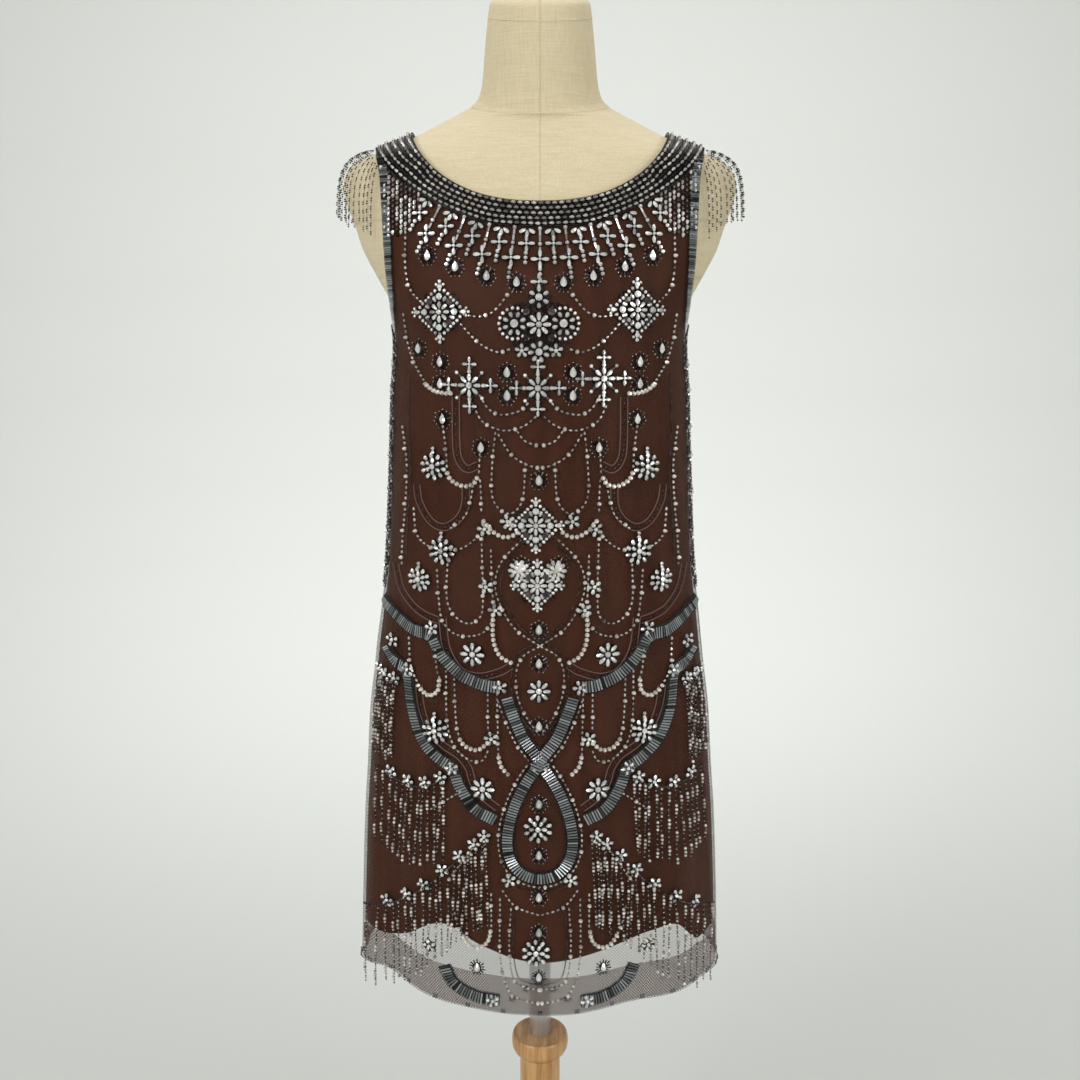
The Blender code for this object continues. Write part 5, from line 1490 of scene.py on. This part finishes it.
# %% Sew the beads on
SLOTS = {
    # tray's first word or words: finish, slot
    "stones": ("foiled_crystal", "crystal"), "dark_seeds": ("gunmetal", "bead_band"),
    "smoky": ("smoky", "crystal"), "silver_threads": ("silver_lined", "crystal"),
    "bugles": ("steel_bugle", "bugle_bead"), "neck_rice": ("silver_lined", "crystal"),
    "side_bugles": ("steel_bugle", "bead_band"), "fringe": ("gunmetal", "fringe_bead"),
    "fringe_drops": ("silver_lined", "fringe_bead"), "shoulder_fringe": ("gunmetal", "fringe_bead"),
    "shoulder_drops": ("silver_lined", "fringe_bead"),
}
sewn = {}
for tray in sorted(trays):
    finish, slot = SLOTS[tray.rsplit("_", 1)[0]]
    sewn[tray] = sew_on(tray, FINISHES[finish], slot)

solids = sorted(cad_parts)
for place_name in SIDES.values():
    here = [node for node in solids if f"_{place_name}" in node]
    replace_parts(bpy.data.objects[f"neck_braid_{place_name}"], f"neck_band_{place_name}")
    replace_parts(sewn[f"bugles_{place_name}"], *(node for node in here if node.startswith("ribbon")))
    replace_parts(sewn[f"fringe_{place_name}"], *(node for node in here if node.startswith("tier")))
    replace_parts(sewn[f"side_bugles_{place_name}"], *(node for node in here if node.startswith("armhole")))
for hand_name in HANDS.values():
    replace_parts(sewn[f"shoulder_fringe_{hand_name}"], f"shoulder_fringe_{hand_name}")
clusters_of_stones = [node for node in solids if "medallion" in node or node.startswith("cross_flower")]
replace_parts(sewn["stones_front"], *clusters_of_stones)

# %% [markdown]
# ## The form and its stand
#
# The form is a padded shell under tight cream linen. Linen threads are uneven, so the weave is drawn with
# slubs: here and there a thicker thread. It is sewn from pieces, with a seam down the front and the back, one
# round the base of the neck and one under the neck's cap.

# %% Linen finish
LINEN_THREAD_M = 0.0013


def woven(finish, stretch):
    """Noise drawn out along one direction, as threads are."""
    place = add(finish, "ShaderNodeTexCoord")
    drawn = add(finish, "ShaderNodeMapping", {"Vector": place.outputs["Object"], "Scale": stretch})
    return add(finish, "ShaderNodeTexNoise", {"Vector": drawn.outputs[0], "Scale": 1.0, "Detail": 2.0}).outputs[0]


linen = start_finish("cream_linen_weave", Roughness=0.92, Sheen_Weight=0.15)
thread_count = 1 / LINEN_THREAD_M
weft = woven(linen, (40, 40, thread_count))
warp = woven(linen, (thread_count, thread_count, 40))
weave = add(linen, "ShaderNodeMath", {0: weft, 1: warp}, operation="ADD").outputs[0]
tint = add(linen, "ShaderNodeMapRange", {0: weave, 1: 0.72, 2: 1.3}).outputs[0]
two_colours(linen, tint, "#d6c5a0", "#e2d4b4")
raise_bump(linen, weave, 0.0003)
print("linen threads to the metre:", round(thread_count))

# %% [markdown]
# The body is a stack of rings from the same table as the dress, a little smaller. The neck leans forward, so
# its rings are tilted ellipses.

# %% Rings of the form
NECK_RINGS = (
    # height, half width, half depth, middle y, lean in degrees
    (1.4400, 0.0820, 0.0590, 0.009, 9.0), (1.4470, 0.0690, 0.0560, 0.008, 16.0),
    (1.4540, 0.0630, 0.0545, 0.007, 19.0), (1.4700, 0.0585, 0.0535, 0.005, 19.0),
    (1.4950, 0.0560, 0.0525, 0.002, 18.0), (1.5250, 0.0525, 0.0510, -0.002, 17.0),
    (1.5420, 0.0500, 0.0490, -0.004, 16.0), (1.5470, 0.0460, 0.0450, -0.005, 16.0),
)
FORM_INSET, FORM_SEGMENTS = 0.0026, 160


def form_rings():
    """Rings of points: x = half |cos|^(2 / 2.3), y = middle + depth sin, and leaning ellipses for the neck."""
    turn = np.linspace(0, 2 * math.pi, FORM_SEGMENTS, endpoint=False)
    cosine, sine = np.cos(turn), np.sin(turn)
    rings = []
    for z in np.unique(np.concatenate([np.arange(0.7250, 1.430, 0.0055), [row[0] for row in FORM]])):
        half, front, _ = section(FORM, np.array([z]), FRONT)
        _, back, centre = section(FORM, np.array([z]), BACK)
        x = (half - FORM_INSET) * np.sign(cosine) * np.abs(cosine) ** (2 / ROUNDNESS)
        depth = np.where(sine < 0, front, back) - FORM_INSET
        rings.append(np.column_stack([x, centre + depth * sine, np.full(FORM_SEGMENTS, z)]))
    table = np.array(NECK_RINGS)
    for z in np.unique(np.concatenate([np.linspace(1.4400, 1.5470, 26), table[:, 0]])):
        half, depth, centre, lean = (smooth_table(NECK_RINGS, column, np.array([z])) for column in (1, 2, 3, 4))
        y = depth * sine
        tilt = np.radians(lean)
        rings.append(np.column_stack([half * cosine, centre + y * np.cos(tilt), z + y * np.sin(tilt)]))
    return np.array(rings)


rings = form_rings()
print("form rings:", len(rings))

# %% [markdown]
# The rings are joined by a tube of faces. A fan of triangles closes it below and on top of the neck.

# %% The form's body
def close_ends(points, faces, count):
    """Adds a middle point and a fan of triangles at both ends of a stack of rings; each four-cornered face is split
    into two triangles.
    """
    last = len(points) - count
    i = np.arange(count)
    k = (i + 1) % count
    low, high = len(points), len(points) + 1
    points = np.concatenate([points, [points[:count].mean(0)], [points[last:].mean(0)]])
    triangles = np.concatenate([
        np.stack([k, i, np.full(count, low)], -1), np.stack([last + i, last + k, np.full(count, high)], -1),
    ])
    quads = np.concatenate([
        np.stack([faces[:, 0], faces[:, 1], faces[:, 2]], -1), np.stack([faces[:, 0], faces[:, 2], faces[:, 3]], -1),
    ])
    return points, np.concatenate([quads, triangles])


form_points, form_faces = close_ends(rings.reshape(-1, 3), tube_faces(len(rings), FORM_SEGMENTS, 0), FORM_SEGMENTS)
form = outward(add_mesh("linen_form", form_points, form_faces, linen, "form_linen"))
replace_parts(form, "form_torso")
print("faces of the form:", len(form_faces))

# %% [markdown]
# A seam is a fine welt that lies half in the linen. It follows one column of the rings' points, or one ring.

# %% Seams of the form
SEAM_WELT, SEAM_CORNERS, SEAM_FROM_Z = 0.0007, 6, 1.28


def seam(name, points, radius):
    """A narrow welt along a line of points on the form, half sunk into it."""
    centre = np.array([0, 0.005, 0])
    out = (points - centre) * [1, 1, 0]
    out = out / np.linalg.norm(out, axis=1, keepdims=True)
    tube = cord_points(points, out, radius, SEAM_CORNERS).reshape(-1, 3)
    return outward(add_mesh(name, tube, tube_faces(len(points), SEAM_CORNERS, 0), linen, "form_linen"))


for name, pick in (("centre_front_seam", np.argmin), ("centre_back_seam", np.argmax)):
    column = rings[:, int(pick(rings[0][:, 1]))]
    seam(name, column[column[:, 2] > SEAM_FROM_Z], SEAM_WELT)
for name, z, radius in (("neck_base_seam", 1.4475, 0.0008), ("neck_cap_seam", 1.530, SEAM_WELT)):
    ring = rings[int(np.argmin(np.abs(rings[:, 0, 2] - z)))]
    seam(name, np.concatenate([ring, ring[:1]]), radius)

# %% [markdown]
# The pole is chromed tube, wiped so often that it is no longer quite a mirror. The column and base are turned
# on a lathe from pale wood and varnished. Grain is noise drawn out along one direction: along the column's
# height, and across the base from side to side, as in a board laid flat. Through the board's thickness it
# changes slowly too, so that a cut end shows lines rather than spots.

# %% Chrome and wood finishes
chrome = start_finish("chromed_steel_tube", Metallic=0.72, Roughness=0.24)
wipe = woven(chrome, (300, 300, 6))
two_colours(chrome, wipe, "#b4b7ba", "#e6e8e9")


def wood_finish(name, broad, fine):
    """Varnished wood; broad and fine tell how often the grain changes along x, y and z, in times a metre."""
    finish = start_finish(name, Roughness=0.38, Coat_Weight=0.25, Coat_Roughness=0.2)
    grain, rays = woven(finish, broad), woven(finish, fine)
    both = add(finish, "ShaderNodeMix", {0: 0.3, 2: grain, 3: rays}, data_type="FLOAT").outputs[0]
    sharper = add(finish, "ShaderNodeMapRange", {0: both, 1: 0.36, 2: 0.62}).outputs[0]
    two_colours(finish, sharper, "#a9743f", "#d8a86e")
    raise_bump(finish, both, 0.0002)
    return finish


upright_wood = wood_finish("varnished_beech_upright_grain", (150, 26, 8), (900, 160, 55))
level_wood = wood_finish("varnished_beech_level_grain", (7, 110, 60), (50, 800, 400))
print("stand finishes:", chrome.name, upright_wood.name, level_wood.name)

# %% [markdown]
# Turned pieces have a profile, a list of radius and height, that is carried once round the axis, just as wood
# turns against the chisel on a lathe. Edges sharper than 35 degrees stay crisp.

# %% Pole, column and base
POLE = ((0.0123, 0.4043), (0.0125, 0.4048), (0.0125, 0.7190), (0.0120, 0.7197))
COLUMN = (
    (0.0400, 0.0263), (0.0415, 0.0300), (0.0412, 0.0345), (0.0360, 0.0400), (0.0310, 0.0470), (0.0275, 0.0600),
    (0.0258, 0.0900), (0.0242, 0.2400), (0.0234, 0.3740), (0.0238, 0.3775), (0.0262, 0.3795), (0.0270, 0.3810),
    (0.0305, 0.3835), (0.0325, 0.3880), (0.0331, 0.3930), (0.0330, 0.3985), (0.0322, 0.4022), (0.0310, 0.4040),
)
BASE = ((0.1590, 0.0), (0.1635, 0.0015), (0.1650, 0.0050), (0.1650, 0.0190), (0.1640, 0.0225), (0.1615, 0.0250),
        (0.1580, 0.0260))
TURNED_SEGMENTS = 96


def lathe(name, profile, finish, slot, node):
    """A profile of radius and height turned round the z axis, closed at both ends."""
    turn = np.linspace(0, 2 * math.pi, TURNED_SEGMENTS, endpoint=False)
    radius, height = np.array(profile).T
    points = np.stack([
        radius[:, None] * np.cos(turn), radius[:, None] * np.sin(turn), height[:, None] + 0 * turn,
    ], -1).reshape(-1, 3)
    points, faces = close_ends(points, tube_faces(len(profile), TURNED_SEGMENTS, 0), TURNED_SEGMENTS)
    piece = outward(add_mesh(name, points, faces, finish, slot))
    piece.data.set_sharp_from_angle(angle=math.radians(35))
    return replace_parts(piece, node)


lathe("chrome_pole", POLE, chrome, "pole_chrome", "stand_pole")
lathe("turned_column", COLUMN, upright_wood, "stand_wood", "stand_column")
lathe("round_base", BASE, level_wood, "stand_wood", "stand_base")
print("top of the pole:", POLE[-1][1], "m")

# %% [markdown]
# ## Room, light and camera
#
# The floor is a wide pale disc whose rim curves up far away, so that it has no horizon line.

# %% Floor
floor_finish = start_finish("pale_floor", Base_Color=linear("#c6c8c4"), Roughness=0.95)
floor_profile = np.array([
    (0.001, 0), (1, 0), (2, 0), (2.6, 0.02), (3.2, 0.09), (3.8, 0.23), (4.4, 0.46), (5, 0.82), (5.5, 1.35),
    (5.8, 2.0), (6, 3.0), (6, 6),
])
turn = np.linspace(0, 2 * math.pi, 96, endpoint=False)
floor_points = np.stack([
    floor_profile[:, :1] * np.cos(turn), floor_profile[:, :1] * np.sin(turn), floor_profile[:, 1:] + 0 * turn,
], -1).reshape(-1, 3)
floor = add_mesh("pale_floor", floor_points, tube_faces(len(floor_profile), 96, 0)[:, ::-1], floor_finish, None)
print("the floor reaches", floor_profile[:, 0].max(), "m out")

# %% [markdown]
# A large soft light stands to the left in front, like a window, and a weaker one to the right. One lights from
# above, and one brightens the backdrop. Large lights give the soft shadows of a room, and the stones still
# catch small highlights from them.

# %% Lights and world
def soft_light(name, location, aim, size, power, colour="#ffffff"):
    """A square area light that faces a point."""
    lamp = bpy.data.lights.new(name, "AREA")
    lamp.size = size
    lamp.energy = power
    lamp.color = linear(colour)[:3]
    holder = bpy.data.objects.new(name, lamp)
    holder.location = location
    way = np.array(aim, float) - location
    holder.rotation_euler = (math.atan2(math.hypot(way[0], way[1]), -way[2]), 0, math.atan2(-way[0], way[1]))
    bpy.context.scene.collection.objects.link(holder)
    return holder


soft_light("window", (-2.2, -2.6, 2.3), (0, 0, 1.0), 1.6, 58)
soft_light("fill", (2.4, -2.2, 1.7), (0, 0, 0.9), 1.6, 34)
soft_light("ceiling", (0, 0.4, 3.6), (0, 0, 0), 2.4, 36)
soft_light("backdrop", (0, 2.2, 3.4), (0, 6.0, 0.6), 3.0, 150)
world = bpy.data.worlds.new("soft_room")
world.use_nodes = True
world.node_tree.nodes["Background"].inputs["Color"].default_value = linear("#e4e6e4")
world.node_tree.nodes["Background"].inputs["Strength"].default_value = 0.55
bpy.context.scene.world = world
bpy.context.scene.view_settings.view_transform = "Standard"

# %% [markdown]
# The camera stands where the photo was taken from: 1.24 m up, 1.25 m in front of the form, tilted 11 degrees
# down. The focal length is given in photo pixels, so that one number serves for any sensor.

# %% Camera
CAMERA_PLACE, CAMERA_TILT_DEGREES = (0, -1.25, 1.24), 11
PHOTO_PIXELS, FOCAL_PIXELS = 1080, 1170
lens = bpy.data.cameras.new("camera")
lens.sensor_width = 36
lens.lens = lens.sensor_width * FOCAL_PIXELS / PHOTO_PIXELS
camera = bpy.data.objects.new("camera", lens)
camera.location = CAMERA_PLACE
camera.rotation_euler = (math.radians(90 - CAMERA_TILT_DEGREES), 0, 0)
bpy.context.scene.collection.objects.link(camera)
bpy.context.scene.camera = camera
print("focal length:", round(lens.lens, 1), "mm")

# %% [markdown]
# ## What the cloth was cut to
#
# A table holds how large the flat cloth of each panel was before it was sewn: its width and length, and its area,
# which is less than that rectangle because of the armholes and the neckline. The area of each panel's mesh is
# printed.

# %% Sheets
FLAT = {
    # width, length, area in m and square m
    "satin": (0.60, 0.90, 0.36), "tulle": (0.60, 0.96, 0.40), "hem_turnup": (0.62, 0.045, 0.024),
}
for panel in panels:
    width, length, area = FLAT[panel.name.rsplit("_", 1)[0]]
    mesh = panel.data
    areas = np.zeros(len(mesh.polygons), np.float32)
    mesh.polygons.foreach_get("area", areas)
    print(panel.name, "measures", round(float(areas.sum()), 4), "square metres")
